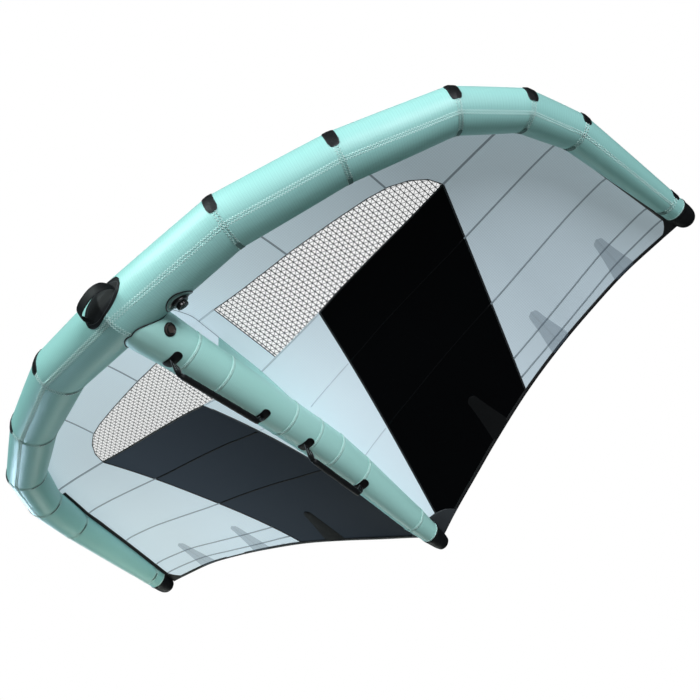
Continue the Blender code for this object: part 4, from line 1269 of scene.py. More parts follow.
rim_plan = [(WINDOW_OUT * x, SEAM_OUT * y) for x, y in rim_shares]
rim_line = evenly(rim_plan, 120)
window_corner = rim_line[-1]
nose_middle = (0, NOSE_SEAM)
window_left = line(rim_line[0], seam_place(rim_line[0][0]), 20)
window_back = line(window_left[-1], window_corner, 100)
nose_front = edge_run((0, 1, 2, 3, 4, seam_end), (30, 26, 22, 10, 4))
nose_back = evenly([nose_middle] + rim_line, len(nose_front) - 1)
panel_left = line(seam_place(PANEL_IN), hem_place(TAIL_HALF), 44)
panel_right = line(window_corner, hem_place(PANEL_TAIL), 44)
tail_steps = [TAIL_HALF + (PANEL_TAIL - TAIL_HALF) * k / 36 for k in range(37)]
corner_x = tip.x - CORNER
outer_steps = [PANEL_TAIL + (corner_x - PANEL_TAIL) * k / 36 for k in range(37)]
corner_front = edge_point(RIM)
corner_middle = (
    (hem_place(corner_x)[0] + corner_front.x) / 2,
    (hem_place(corner_x)[1] + corner_front.y) / 2 + HEM / 2,
)
outer_back = [hem_place(x) for x in outer_steps] + [corner_middle, (corner_front.x, corner_front.y)]
outer_right = edge_run((seam_end, 5, 6, RIM), (12, 26, 6))
nose_left = line(nose_front[0], nose_middle, 16)
nose_right = line(nose_front[-1], window_corner, 16)
dark_front = line(seam_place(PANEL_IN), window_corner, 36)
dark_back = [hem_place(x) for x in tail_steps]
outer_front = line(window_corner, outer_right[0], len(outer_back) - 1)
window_outline = (rim_line[:101], window_back, window_left, rim_line[100:])
outlines = (
    ("nose", "grey_cloth", canopy_cloth, (nose_front, nose_back, nose_left, nose_right)),
    ("window", "window_film", window_film, window_outline),
    ("dark", "black_cloth", black_ripstop, (dark_front, dark_back, panel_left, panel_right)),
    ("outer", "grey_cloth", canopy_cloth, (outer_front, outer_back, panel_right, outer_right)),
)
canopy_panels = []
for side, word in sides:
    for label, slot, finish, outline in outlines:
        node = f"canopy_{label}_{word}"
        canopy_panels.append(panel(f"{label}_panel_{word}", slot, finish, outline, node, side))


def both_sides(points):
    """A plan path of the right half and its image, as one path from left to right."""
    return [(-x, y) for x, y in reversed(points)] + list(points[1:])


strip_front = both_sides(line(nose_middle, rim_line[0], 6))
strip_outline = (
    strip_front,
    both_sides(line(seam_place(0), window_left[-1], 6)),
    [(-x, y) for x, y in window_left],
    window_left,
)
tail_outline = (
    both_sides(line(seam_place(0), seam_place(PANEL_IN), 16)),
    both_sides([hem_place(TAIL_HALF * k / 16) for k in range(17)]),
    [(-x, y) for x, y in panel_left],
    panel_left,
)
for name, outline, node in (
    ("middle_strip", strip_outline, "canopy_strip"),
    ("tail_panel", tail_outline, "canopy_tail"),
):
    canopy_panels.append(panel(name, "grey_cloth", canopy_cloth, outline, node))

# Canopy seams
# The panels overlap and are sewn with two rows of straight stitching under a narrow tape. The
# windows have a black tape round them.
SEAM_HALF, SEAM_WALL = 0.0038, 0.0022
SEAM_ROW, SEAM_STITCH = 0.0022, 0.003
WINDOW_TAPE_HALF, WINDOW_TAPE_WALL = 0.0018, 0.0014
LEAST_SHEET = 0.010


def seam_finish(name, pale, deep, row, stitch):
    """Narrow tape with two rows of dark stitches, by a UV map whose V runs across the tape."""
    made, tree, shader, where = new_finish(name)
    parts = parted(tree, where)
    across = reckon(tree, "SUBTRACT", reckon(tree, "ABSOLUTE", parts[1]), row)
    near = reckon(tree, "LESS_THAN", reckon(tree, "ABSOLUTE", across), 0.0005)
    fold = reckon(tree, "PINGPONG", reckon(tree, "DIVIDE", parts[0], SEAM_STITCH), 0.5)
    sewn = reckon(tree, "MULTIPLY", near, reckon(tree, "LESS_THAN", fold, 0.34))
    drift = place_group(tree, cloudy, i0=where.outputs["Object"], i1=6.0)
    tone = blend_colour(tree, drift.outputs[0], (*pale, 1), (*deep, 1))
    tone = blend_colour(tree, sewn, tone, (*stitch, 1))
    tree.links.new(tone, shader.inputs["Base Color"])
    raise_relief(tree, shader, sewn, 0.5, 0.0004)
    shader.inputs["Roughness"].default_value = 0.55
    return made


def ribbon(name, path, half, wall, side=1, off=0.0, closed=False):
    """A narrow strip along a plan path, through the canopy's surface or hung under it."""
    ways = []
    count = len(path)
    for k in range(count):
        if closed:
            ahead, behind = path[(k + 1) % count], path[k - 1]
        else:
            ahead, behind = path[min(k + 1, count - 1)], path[max(k - 1, 0)]
        way = Vector((ahead[0] - behind[0], ahead[1] - behind[1])).normalized()
        ways.append((-way.y, way.x))
    far = [0]
    for a, b in zip(path, path[1:]):
        far.append(far[-1] + (cloth_point(b) - cloth_point(a)).length)

    def place(i, j):
        k = i % count if closed else i
        step = (j - 1) * half
        spot = (path[k][0] + ways[k][0] * step, path[k][1] + ways[k][1] * step)
        return mirrored(cloth_point(spot, off), side)

    if closed:
        far.append(far[-1] + (cloth_point(path[0]) - cloth_point(path[-1])).length)
    columns = count if closed else count - 1
    piece = skin(name, columns, 2, place, lambda i, j: (far[i], (j - 1) * half), merge=closed)
    thicken(piece, wall)
    return piece, far[-1]


def sewn_tapes(name, slot, finish, cuts):
    """Joins strips into one tape. Each is cut by a plan path, a half width, a wall and a side."""
    strips, total = [], 0
    for k, cut in enumerate(cuts):
        strip, length = ribbon(f"{name}_{k}", *cut)
        strips.append(strip)
        total += length
    piece = joined(name, strips)
    dress(piece, "wing", slot, finish)
    sewn_sheet((LEAST_SHEET, total), total * 2 * SEAM_HALF)


def front_place(y):
    """The plan point of the canopy's front edge at a setback past the fourth joint."""
    table = [(point.y, point.x) for point in attach]
    return (table_value(table, y, 1), y)


def painted_shade_in_front(material, dark):
    """Turns a seam's colour darker near the front tube: painted shade."""
    tree, shader, where = opened(material)
    tone = shader.inputs["Base Color"].links[0].from_socket
    y = parted(tree, where, "Object")[1]
    front = add_node(tree, "ShaderNodeMapRange", i0=y, i1=-0.5, i2=0.3, i3=0.85, i4=0.0)
    tree.links.new(blend_colour(tree, front.outputs[0], tone, (*dark, 1)), shader.inputs["Base Color"])


seam_cloth = seam_finish(
    "seam_cloth", (0.200, 0.245, 0.275), (0.180, 0.220, 0.250), SEAM_ROW, (0.08, 0.10, 0.12)
)
# The seam tape gets painted shade towards the front tube and the canopy's painted glow.
painted_shade_in_front(seam_cloth, (0.035, 0.042, 0.048))
painted_through_glow(seam_cloth, (0.20, 0.25, 0.28), 0.8)
pale_seam_cloth = seam_finish(
    "pale_seam_cloth", (0.30, 0.35, 0.385), (0.27, 0.32, 0.355), SEAM_ROW, (0.16, 0.19, 0.21)
)
# The pale seams get the canopy's painted glow too.
painted_through_glow(pale_seam_cloth, (0.30, 0.37, 0.41), 0.8)
faint_seam_cloth = seam_finish(
    "faint_seam_cloth", (0.0012, 0.0015, 0.002), (0.0008, 0.001, 0.0014), SEAM_ROW, (0.002, 0.0024, 0.003)
)
set_shine(faint_seam_cloth, 0.1)
dark_seam_cloth = seam_finish(
    "dark_seam_cloth", (0.016, 0.018, 0.020), (0.012, 0.014, 0.016), SEAM_ROW, (0.03, 0.03, 0.035)
)
first_cross, second_cross = (0.937, 0.895), (0.827, 1.197)
rear_seams = (
    (first_cross, 0.873),
    (second_cross, 1.142),
    ((0.735, 1.457), 1.374),
    ((0.705, 1.544), 1.465),
)
for side, word in sides:
    paths = []
    for x in (0.443, 0.877):
        front = (x, table_value(front_table, x, 1))
        paths.append(line(front, (x, table_value(rim_plan, x, 1)), 16))
    for start, back in rear_seams:
        paths.append(line(start, front_place(back), 30))
    cuts = [(line(window_corner, front_place(SEAM_OUT), 24), SEAM_HALF * 1.3, SEAM_WALL, side)]
    cuts += [(path, SEAM_HALF, SEAM_WALL, side) for path in paths]
    sewn_tapes(f"seam_tapes_{word}", "grey_cloth", seam_cloth, cuts)

    around = rim_line + window_back[-2::-1] + window_left[-2:0:-1]
    half = WINDOW_TAPE_HALF
    piece, total = ribbon(f"window_tape_{word}", around, half, WINDOW_TAPE_WALL, side, closed=True)
    dress(piece, "wing", "black_cloth", dark_seam_cloth)
    sewn_sheet((LEAST_SHEET, total), total * 2 * half)

    paths = (panel_left, panel_right, line(seam_place(PANEL_IN), window_corner, 30))
    cuts = [(path, SEAM_HALF, SEAM_WALL * 0.9, side) for path in paths]
    sewn_tapes(f"dark_panel_tapes_{word}", "black_cloth", dark_seam_cloth, cuts)

    paths = (line(first_cross, (0.270, 0.926), 24), line(second_cross, (0.187, 1.251), 24))
    cuts = [(path, SEAM_HALF, SEAM_WALL * 0.8, side) for path in paths]
    sewn_tapes(f"cross_tapes_{word}", "black_cloth", faint_seam_cloth, cuts)

paths = (strip_front, both_sides(line(seam_place(0), seam_place(PANEL_IN), 12)))
cuts = [(path, SEAM_HALF, SEAM_WALL * 0.9) for path in paths]
for side, _ in sides:
    for start, end in (((0.262, 0.926), (0.03, 0.938)), ((0.168, 1.252), (0.03, 1.262))):
        cuts.append((line(start, end, 14), 0.002, 0.0012, side))
sewn_tapes("middle_tapes", "grey_cloth", pale_seam_cloth, cuts)

# Trailing hem
# A doubled black tape folded over the rear edge from tip to tip, with a thin line sewn in it.
HEM_IN, HEM_TAPE_HALF, HEM_WALL = 0.006, 0.0075, 0.003
hem_webbing = seam_finish(
    "hem_webbing", (0.0040, 0.0042, 0.0048), (0.0026, 0.0028, 0.0032), 0.0030, (0.010, 0.011, 0.012)
)
trail_line = [(tip.x * k / 120, trail(tip.x * k / 120)[0] - HEM_IN) for k in range(121)]
piece, total = ribbon("rear_hem", both_sides(trail_line), HEM_TAPE_HALF, HEM_WALL)
dress(piece, "wing", "black_webbing", hem_webbing, "trailing_hem")
sewn_sheet((2 * HEM_TAPE_HALF, total), total * 2 * HEM_TAPE_HALF)

# Front edge tape and tip corners
# Past the last kinks a black tape joins the canopy to the front tube, and a black patch with a
# rounded front closes each corner of the canopy at its tip.
EDGE_IN, EDGE_HALF, EDGE_WALL, EDGE_UNDER = 0.0055, 0.0100, 0.0030, 0.0032
CORNER_BACK, CORNER_BOW, CORNER_WALL = 0.085, 0.014, 0.0028
CORNER_COLUMNS, CORNER_ROWS = 16, 12
for side, word in sides:
    path = [(x - EDGE_IN, y) for x, y in edge_run((4.2, 5, 6, RIM), (12, 26, 6))]
    piece, total = ribbon(f"edge_tape_{word}", path, EDGE_HALF, EDGE_WALL, side, -EDGE_UNDER)
    dress(piece, "wing", "black_webbing", hem_webbing)
    sewn_sheet((2 * EDGE_HALF, total), total * 2 * EDGE_HALF)

    front = edge_run((6.45, RIM, CORNER_PLACE), (10, 6))
    across = [tip.x - CORNER_BACK * (1 - k / CORNER_COLUMNS) for k in range(CORNER_COLUMNS + 1)]
    back = [(x, trail(x)[0] - 0.001) for x in across]
    left = []
    for k, (x, y) in enumerate(line(front[0], back[0], CORNER_ROWS)):
        bow = CORNER_BOW * math.sin(math.pi * k / CORNER_ROWS)
        left.append((x + bow * 0.8, y + bow))
    plan = ruled_plan(front, back, left, [front[-1]] * len(left))
    piece = skin(
        f"tip_corner_{word}",
        CORNER_COLUMNS,
        CORNER_ROWS,
        lambda i, j: mirrored(cloth_point(plan[i, j]), side),
        lambda i, j: cloth_metres(plan[i, j]),
        merge=True,
    )
    sewn_on(piece, CORNER_WALL, canopy_panels, "black_webbing", hem_webbing)

# Batten pockets
# Tapered pockets under the rear edge, three a side, each holding a short flat rod that keeps the
# edge from fluttering. The outer two are of smoky film, the one on the black panel of dark cloth.
BATTEN_LENGTH = 0.205
BATTEN_HALF = 0.052
BATTEN_ROWS = 24
ROD_HALF = 0.004
batten_half_shares = (0.40, 0.44, 0.50, 0.57, 0.65, 0.74, 0.83, 0.92, 1)
batten_table = [(k / 8, share) for k, share in enumerate(batten_half_shares)]
batten_film, tree, shader, where = new_finish("batten_film")
rod = reckon(tree, "LESS_THAN", reckon(tree, "ABSOLUTE", parted(tree, where)[0]), ROD_HALF)
drift = place_group(tree, cloudy, i0=where.outputs["Object"], i1=12.0)
tone = blend_colour(tree, drift.outputs[0], (0.15, 0.21, 0.27, 1), (0.125, 0.185, 0.245, 1))
tone = blend_colour(tree, reckon(tree, "MULTIPLY", rod, 0.3), tone, (0.12, 0.15, 0.18, 1))
tree.links.new(tone, shader.inputs["Base Color"])
solid = add_node(tree, "ShaderNodeMapRange", i0=rod, i1=0.0, i2=1.0, i3=0.32, i4=0.37)
tree.links.new(solid.outputs[0], shader.inputs["Alpha"])
shader.inputs["Roughness"].default_value = 0.35
dark_batten_cloth = cloth_finish(
    "dark_batten_cloth",
    (0.0022, 0.0026, 0.003),
    (0.0016, 0.002, 0.0024),
    RIPSTOP_GRID,
    RIPSTOP_YARN,
    0.55,
    cloud=8.0,
)
set_shine(dark_batten_cloth, 0.2)
for side, word in sides:
    for label, share in (("inner", 0.31), ("middle", 0.573), ("outer", 0.809)):
        x = HALF_SPAN * share
        tip_y = trail(x)[0] - HEM - BATTEN_LENGTH

        def pocket(i, j):
            down = j / BATTEN_ROWS
            half = eased_value(batten_table, down, 1)
            half *= math.sqrt(max(1 - max(1 - down / 0.11, 0) ** 2, 0.0))
            across = x + (i / 4 - 1) * BATTEN_HALF * half
            base = trail(across)[0] - HEM / 2
            return across, tip_y + (base - tip_y) * down

        def pocket_point(i, j):
            swell = 1 - (i / 4 - 1) ** 2
            spot = cloth_point(pocket(i, j), -0.0012 - 0.0024 * swell)
            return mirrored(spot, side)

        piece = skin(
            f"batten_pocket_{label}_{word}",
            8,
            BATTEN_ROWS,
            pocket_point,
            lambda i, j: ((pocket(i, j)[0] - x), pocket(i, j)[1]),
            merge=True,
        )
        finish = dark_batten_cloth if label == "inner" else batten_film
        sewn_on(piece, 0, canopy_panels, "dark_cloth", finish, f"batten_{label}_{word}")

# Tail patch
# Two layers of dark woven cloth sewn under the canopy where it meets the end of the strut, with
# an arched front edge.
PATCH_HALF = 0.135
PATCH_DEPTH = 0.105
PATCH_COLUMNS, PATCH_ROWS = 36, 12
patch_cloth = cloth_finish(
    "patch_cloth", (0.034, 0.040, 0.046), (0.027, 0.032, 0.037), 0.004, 0.2, 0.6, cloud=20.0
)


def tail_spot(i, j):
    """A plan point of the arched patch."""
    u = i / PATCH_COLUMNS * 2 - 1
    x = u * PATCH_HALF
    back = trail(x)[0] - 0.0006
    front = STRUT_LENGTH - HEM - PATCH_DEPTH * math.sqrt(1 - min(abs(u), 0.98) ** 2)
    front = min(front, back - HEM / 2)
    return x, front + (back - front) * j / PATCH_ROWS


piece = skin(
    "arched_tail_patch",
    PATCH_COLUMNS,
    PATCH_ROWS,
    lambda i, j: cloth_point(tail_spot(i, j), -0.0024),
    tail_spot,
)
sewn_on(piece, 0.0014, canopy_panels, "dark_cloth", patch_cloth, "tail_patch")

# Web and flap
# Upright cloth between the strut and the canopy on the middle line: a thin grey web in front and
# a flap of the strut's own cloth behind it, both sewn along the strut's crest.
WEB_END = 0.45
FIN_COLUMNS = 40


def fin_piece(name, slot, finish, start, end, node):
    """Upright cloth from one setback to another, between the strut's crest and the canopy."""

    def fin_point(i, j):
        y = start + (end - start) * i / FIN_COLUMNS
        low = strut_top(y) - 0.0005
        high = cloth_height(0, y)
        bow = 0.0012 * math.sin(math.pi * j / 8) * math.sin(y * 40)
        return Vector((bow, y, low + (high - low) * j / 8))

    piece = skin(name, FIN_COLUMNS, 8, fin_point, lambda i, j: tuple(fin_point(i, j).yz))
    sewn_on(piece, 0.0010, [strut, *canopy_panels], slot, finish, node)


web_start = radii[0] + HEM
web_cloth = canopy_cloth.copy()
web_cloth.name = "web_cloth"
web_cloth.node_tree.nodes["Principled BSDF"].inputs["Alpha"].default_value = 0.6
fin_piece("front_web", "grey_cloth", web_cloth, web_start, WEB_END, "strut_web")
web_run = [web_start + (WEB_END - web_start) * k / 40 for k in range(41)]
web_seam = [Vector((0, y, cloth_height(0, y) - 0.003)) for y in web_run]
grey_seam_thread = thread_finish("grey_seam_thread", (0.22, 0.27, 0.30), (0.18, 0.22, 0.25))
dress(thread("web_seam", web_seam, radius=0.0018), "wing", "grey_cloth", grey_seam_thread)
fin_piece(
    "strut_fin", "mint_cloth", strut_cloth_painted_lighter, WEB_END, STRUT_LENGTH * web_shares[7][0], "strut_flap"
)
seam_run = [web_start + (STRUT_LENGTH * 0.945 - web_start) * k / 80 for k in range(81)]
crest_seam = [Vector((0, y, strut_top(y) + 0.0008)) for y in seam_run]
dress(thread("crest_seam", crest_seam, radius=0.0016), "wing", "mint_cloth", pale_thread)

# Grips
# Two bars under the strut for the hands: a textured padded sleeve round a stiff core, carried by
# folded webbing that is sewn to a patch on the strut at each end.
STRAP_HALF = 0.012
STRAP_THICK = 0.002
GRIP_RADIUS = 0.011
STRAP_LEAD = 0.045
STRAP_TAIL = 0.022
STRUT_PATCH_HALF = 0.019
STRUT_PATCH_REACH = math.radians(28)
STRAP_WALL = 0.0030
SLEEVE_RADIUS, SLEEVE_STEPS = 0.0128, 24


def webbing_finish(name, pale, deep, rib, edge_half, edge, roughness=0.5):
    """Ribbed webbing with two smooth bound edges, by a UV map whose V runs across it."""
    made, tree, shader, where = new_finish(name)
    parts = parted(tree, where)
    wave = reckon(tree, "SINE", reckon(tree, "MULTIPLY", parts[0], 6.283 / rib))
    cross = reckon(tree, "SINE", reckon(tree, "MULTIPLY", parts[1], 6.283 / rib))
    weave = reckon(tree, "MULTIPLY", wave, cross)
    bound = reckon(tree, "GREATER_THAN", reckon(tree, "ABSOLUTE", parts[1]), edge_half)
    share = add_node(tree, "ShaderNodeMapRange", i0=weave, i1=-1.0, i2=1.0)
    tone = blend_colour(tree, share.outputs[0], (*deep, 1), (*pale, 1))
    tone = blend_colour(tree, bound, tone, (*edge, 1))
    tree.links.new(tone, shader.inputs["Base Color"])
    raise_relief(tree, shader, reckon(tree, "MAXIMUM", share.outputs[0], bound), 0.5, 0.0005)
    shader.inputs["Roughness"].default_value = roughness
    set_shine(made, 0.14)
    return made


# The grip webbing's pale bound edges are painted highlights: the shine along the strap's edges.
grip_webbing = webbing_finish(
    "grip_webbing", (0.012, 0.013, 0.014), (0.004, 0.0045, 0.005), 0.002, 0.0105, (0.10, 0.12, 0.125), 0.35
)
patch_webbing = webbing_finish(
    "patch_webbing", (0.0045, 0.005, 0.0055), (0.0025, 0.003, 0.0035), 0.0024, 0.0165, (0.010, 0.011, 0.012)
)
sleeve_rubber = rubber_finish(
    "sleeve_rubber", (0.006, 0.0065, 0.0075), (0.009, 0.010, 0.011), 10.0, 10.0, 380.0
)


def underside_slope(y):
    """How steeply the strut's underside rises under a strap at a setback."""
    ahead = strut_point(y + STRAP_HALF, 0, 0)
    behind = strut_point(y - STRAP_HALF, 0, 0)
    return (ahead - behind).normalized().z


def flat_strap(name, stops):
    """A flat strap through stations of a centre and the way its width runs."""
    run = [0]
    fine = []
    for (a, wide_a), (b, wide_b) in zip(stops, stops[1:]):
        for share in (0, 1 / 3, 2 / 3):
            fine.append((a.lerp(b, share), wide_a.lerp(wide_b, share).normalized()))
    fine.append(stops[-1])
    for (a, _), (b, _) in zip(fine, fine[1:]):
        run.append(run[-1] + (b - a).length)
    piece = skin(
        name,
        len(fine) - 1,
        4,
        lambda i, j: fine[i][0] + fine[i][1] * (STRAP_HALF * (j / 2 - 1)),
        lambda i, j: (run[i], STRAP_HALF * (j / 2 - 1)),
    )
    thicken(piece, STRAP_WALL)
    return piece, run[-1]


for name, start, end, hang, tail_hang in (
    ("front", 0.235, 0.680, 0.045, 0.034),
    ("rear", 0.925, 1.250, 0.052, 0.052),
):
    body = f"{name}_grip"
    for where_at, setback in (("head", start), ("foot", end)):

        def patch_point(i, j):
            edge = abs(i / 12 - 1)
            half = STRUT_PATCH_HALF * math.sqrt(1 - 0.94 * (max(edge - 0.68, 0) / 0.32) ** 2)
            return strut_point(setback + (j / 2 - 1) * half, (i / 12 - 1) * STRUT_PATCH_REACH, 0.0014)

        reach = STRUT_PATCH_REACH * strut_centre(setback)[1]
        piece = skin(
            f"grip_patch_{where_at}_{name}",
            24,
            4,
            patch_point,
            lambda i, j: ((i / 12 - 1) * reach, (j / 2 - 1) * STRUT_PATCH_HALF),
        )
        node = f"grip_patch_{name}_{where_at}"
        sewn_on(piece, PATCH, [strut], "black_webbing", patch_webbing, node)

    drop = CLEAR * 3 + PATCH + STRAP_THICK
    fall = (strut_point(end, 0, 0) - strut_point(start, 0, 0)).normalized().z
    head = strut_point(start, 0, drop + STRAP_HALF * abs(fall - underside_slope(start)))
    foot = strut_point(end, 0, drop + STRAP_HALF * abs(fall - underside_slope(end)))
    along = (foot - head).normalized()
    down = Vector((0, along.z, -along.y))
    bar_from = head + along * STRAP_LEAD + down * hang
    bar_to = foot - along * STRAP_TAIL + down * tail_hang
    bar = (bar_to - bar_from).normalized()
    across = Vector((0, bar.z, -bar.y))
    lead = (bar_from - head).normalized()
    tail = (bar_to - foot).normalized()
    length = (bar_to - bar_from).length
    profile = [(-0.006, 0.30), (-0.004, 0.62), (0.0, 0.84), (0.004, 0.95), (0.010, 1.0)]
    profile += [(0.018 + (length - 0.036) * k / 24, 1.0) for k in range(25)]
    profile += [(length - at, wide) for at, wide in reversed(profile[:5])]

    def sleeve_point(i, j):
        at, wide = profile[i]
        turn = 2 * math.pi * j / SLEEVE_STEPS
        ring = 0.0004 * math.sin(at * 620) if 0.012 < at < length - 0.012 else 0
        reach = SLEEVE_RADIUS * wide + ring
        way = Vector((math.sin(turn), 0, 0)) * reach + across * (math.cos(turn) * reach)
        return bar_from + bar * at + way

    piece = skin(
        f"{name}_sleeve",
        len(profile) - 1,
        SLEEVE_STEPS,
        sleeve_point,
        lambda i, j: (profile[i][0], 2 * math.pi * GRIP_RADIUS * j / SLEEVE_STEPS),
        around=True,
        ends=True,
    )
    dress(piece, body, "black_webbing", sleeve_rubber, f"grip_{name}")

    half_turned = (along + Vector((0.5, 0, 0))).normalized()
    head_stops = (
        (head - down * (STRAP_THICK * 0.6), along),
        (head + lead * (hang * 0.12), along),
        (head + lead * (hang * 0.45), half_turned),
        (bar_from - bar * (GRIP_RADIUS * 0.9), Vector((1, 0, 0))),
        (bar_from + bar * 0.010, Vector((1, 0, 0))),
    )
    foot_stops = (
        (foot - down * (STRAP_THICK * 0.6), along),
        (foot + tail * (tail_hang * 0.15), along),
        (foot + tail * (tail_hang * 0.45), half_turned),
        (bar_to + bar * (GRIP_RADIUS * 0.7), Vector((1, 0, 0))),
        (bar_to - bar * 0.010, Vector((1, 0, 0))),
    )
    for label, stops in (("head", head_stops), ("foot", foot_stops)):
        piece, run_length = flat_strap(f"{name}_{label}_strap", stops)
        dress(piece, body, "black_webbing", grip_webbing)
        width = 2 * STRAP_HALF
        sewn_sheet((width, run_length), width * run_length)
        # Pale stitches on the straps: real stitching whose pale tone is partly a painted glint.
        glints = []
        for row in (-0.45, 0.45):
            path = []
            for k in range(9):
                part = 0.15 + 0.5 * k / 8
                at = stops[1][0].lerp(stops[3][0], part)
                wide = stops[1][1].lerp(stops[3][1], part)
                path.append(at + wide * (STRAP_HALF * row) + Vector((0.0019, 0, 0)))
            for k in range(0, 8, 2):
                glints.append(thread("strap_glint_stitch", [path[k], path[k + 1]], radius=0.0005))
        piece = joined(f"{name}_{label}_stitches", glints)
        dress(piece, body, "black_webbing", pale_thread)

# Grab loop
# A webbing handle over the nose on a boat-shaped patch, set a little aslant, for carrying the
# wing by its front.
LOOP_ANGLE = math.radians(210)
LOOP_SLANT = math.radians(14)
LOOP_HALF = 0.076
LOOP_HEIGHT = 0.060
LOOP_HALF_WIDTH = 0.014
LOOP_WALL = 0.004
STRAP_WIDER = 1.45
STRAP_SPREAD = 0.030
LOOP_PATCH_HALF = 0.098
LOOP_PATCH_REACH = math.radians(24)
LOOP_PATCH_FRONT = math.radians(36)
LOOP_STEPS = 20
_, loop_rear, loop_up = frames[0]
loop_out = loop_rear * math.cos(LOOP_ANGLE) + loop_up * math.sin(LOOP_ANGLE)


def boat_point(i, j, off=0.0016):
    """A point of the boat-shaped patch: 24 columns on each side of the nose, 6 rows each way."""
    u = i / 24 - 1
    reach = LOOP_PATCH_FRONT if j < 6 else LOOP_PATCH_REACH
    reach *= math.sqrt(1 - min(abs(u), 0.985) ** 2.8)
    slant = u * LOOP_PATCH_HALF * math.tan(LOOP_SLANT) / TUBE_RADIUS
    angle = LOOP_ANGLE + (j / 6 - 1) * reach - slant
    place = abs(u) * LOOP_PATCH_HALF / lengths[0]
    return mirrored(tube_point(place, angle, off), 1 if u >= 0 else -1)


piece = skin(
    "boat_patch",
    48,
    12,
    boat_point,
    lambda i, j: ((i / 24 - 1) * LOOP_PATCH_HALF, (boat_point(i, j).z - boat_point(i, 6).z) * 1.15),
)
sewn_on(piece, PATCH, [front_tube], "black_webbing", patch_webbing, "loop_patch")
turns = [2 * math.pi * k / 60 for k in range(60)]
path = [boat_point(24 + 22.5 * math.cos(t), 6 + 4.8 * math.sin(t), 0.0026) for t in turns]
grey_thread = thread_finish("grey_thread", (0.10, 0.11, 0.115), (0.07, 0.08, 0.085))
piece = thread("boat_stitching", path, radius=0.0005, closed=True)
dress(piece, "wing", "black_webbing", grey_thread)

loop_tilt = abs(last_axis.dot(loop_out)) * LOOP_WALL
loop_rock = LOOP_HALF_WIDTH * math.sin(LOOP_SLANT) / 4
loop_lift = CLEAR * 3 + PATCH + loop_tilt + loop_rock + LOOP_HALF_WIDTH
loop_place = LOOP_HALF * math.cos(LOOP_SLANT) / lengths[0]
loop_swing = LOOP_HALF * math.sin(LOOP_SLANT) / TUBE_RADIUS
right_foot = tube_point(loop_place, LOOP_ANGLE - loop_swing, loop_lift)
left_foot = mirrored(tube_point(loop_place, LOOP_ANGLE + loop_swing, loop_lift), -1)
loop_pivot = right_foot.lerp(left_foot, 0.5)
loop_down = Vector((0, -loop_out.z, loop_out.y))
loop_along = Vector((1, 0, 0)) * math.cos(LOOP_SLANT) - loop_down * math.sin(LOOP_SLANT)
loop_across = Vector((1, 0, 0)) * math.sin(LOOP_SLANT) + loop_down * math.cos(LOOP_SLANT)
loop_stops = [(-LOOP_HALF, -share * LOOP_HALF_WIDTH) for share in (0.98, 0.9, 0.8, 0.65, 0.5, 0.25)]
loop_wide = [math.sqrt(1 - (out / LOOP_HALF_WIDTH) ** 2) for _, out in loop_stops]
for k in range(41):
    angle = math.pi * k / 40
    x = -math.copysign(abs(math.cos(angle)) ** 0.8, math.cos(angle)) * LOOP_HALF
    loop_stops.append((x, abs(math.sin(angle)) ** 0.8 * LOOP_HEIGHT))
    loop_wide.append(1 + (STRAP_WIDER - 1) * min(loop_stops[-1][1] / STRAP_SPREAD, 1))
loop_stops += [(-x, out) for x, out in reversed(loop_stops[:6])]
loop_wide += list(reversed(loop_wide[:6]))
loop_centres = [loop_pivot + loop_out * out + loop_along * x for x, out in loop_stops]
loop_far = [0]
for a, b in zip(loop_centres, loop_centres[1:]):
    loop_far.append(loop_far[-1] + (b - a).length)


def loop_point(i, j):
    """A point of the webbing, whose section is flat with round edges."""
    ahead = loop_centres[min(i + 1, len(loop_centres) - 1)]
    behind = loop_centres[max(i - 1, 0)]
    outward = (ahead - behind).normalized().cross(loop_across).normalized()
    turn = 2 * math.pi * (j + 0.5) / LOOP_STEPS
    w = math.copysign(abs(math.cos(turn)) ** 0.35, math.cos(turn)) * LOOP_HALF_WIDTH * loop_wide[i]
    t = math.copysign(abs(math.sin(turn)) ** 0.7, math.sin(turn)) * LOOP_WALL / 2
    return loop_centres[i] + loop_across * w + outward * t


def loop_metres(i, j):
    turn = 2 * math.pi * (j + 0.5) / LOOP_STEPS
    return loop_far[i], math.cos(turn) * LOOP_HALF_WIDTH * loop_wide[i]


loop_webbing = webbing_finish(
    "loop_webbing", (0.010, 0.011, 0.012), (0.004, 0.0045, 0.005), 0.0026, 0.0185, (0.016, 0.018, 0.020)
)
piece = skin(
    "webbing_loop", len(loop_stops) - 1, LOOP_STEPS, loop_point, loop_metres, around=True, ends=True
)
dress(piece, "loop", "black_webbing", loop_webbing, "nose_loop")
strap_width = 2 * LOOP_HALF_WIDTH * STRAP_WIDER
loop_area = strap_width * loop_far[-1] * 0.92
sewn_sheet((strap_width, loop_far[-1]), loop_area)

# Valves
# The front tube fills through a wide welded valve of moulded plastic, with a lobed cap that turns.
# The strut has a small flat valve with a plug that pulls out.
VALVE_PLACE = 0.178
VALVE_ANGLE = math.radians(-42)
VALVE_HEIGHT = 0.010
PLUG_SETBACK, PLUG_ANGLE = 0.152, math.radians(31)
PLUG_FLANGE, PLUG_HEIGHT = 0.026, 0.004


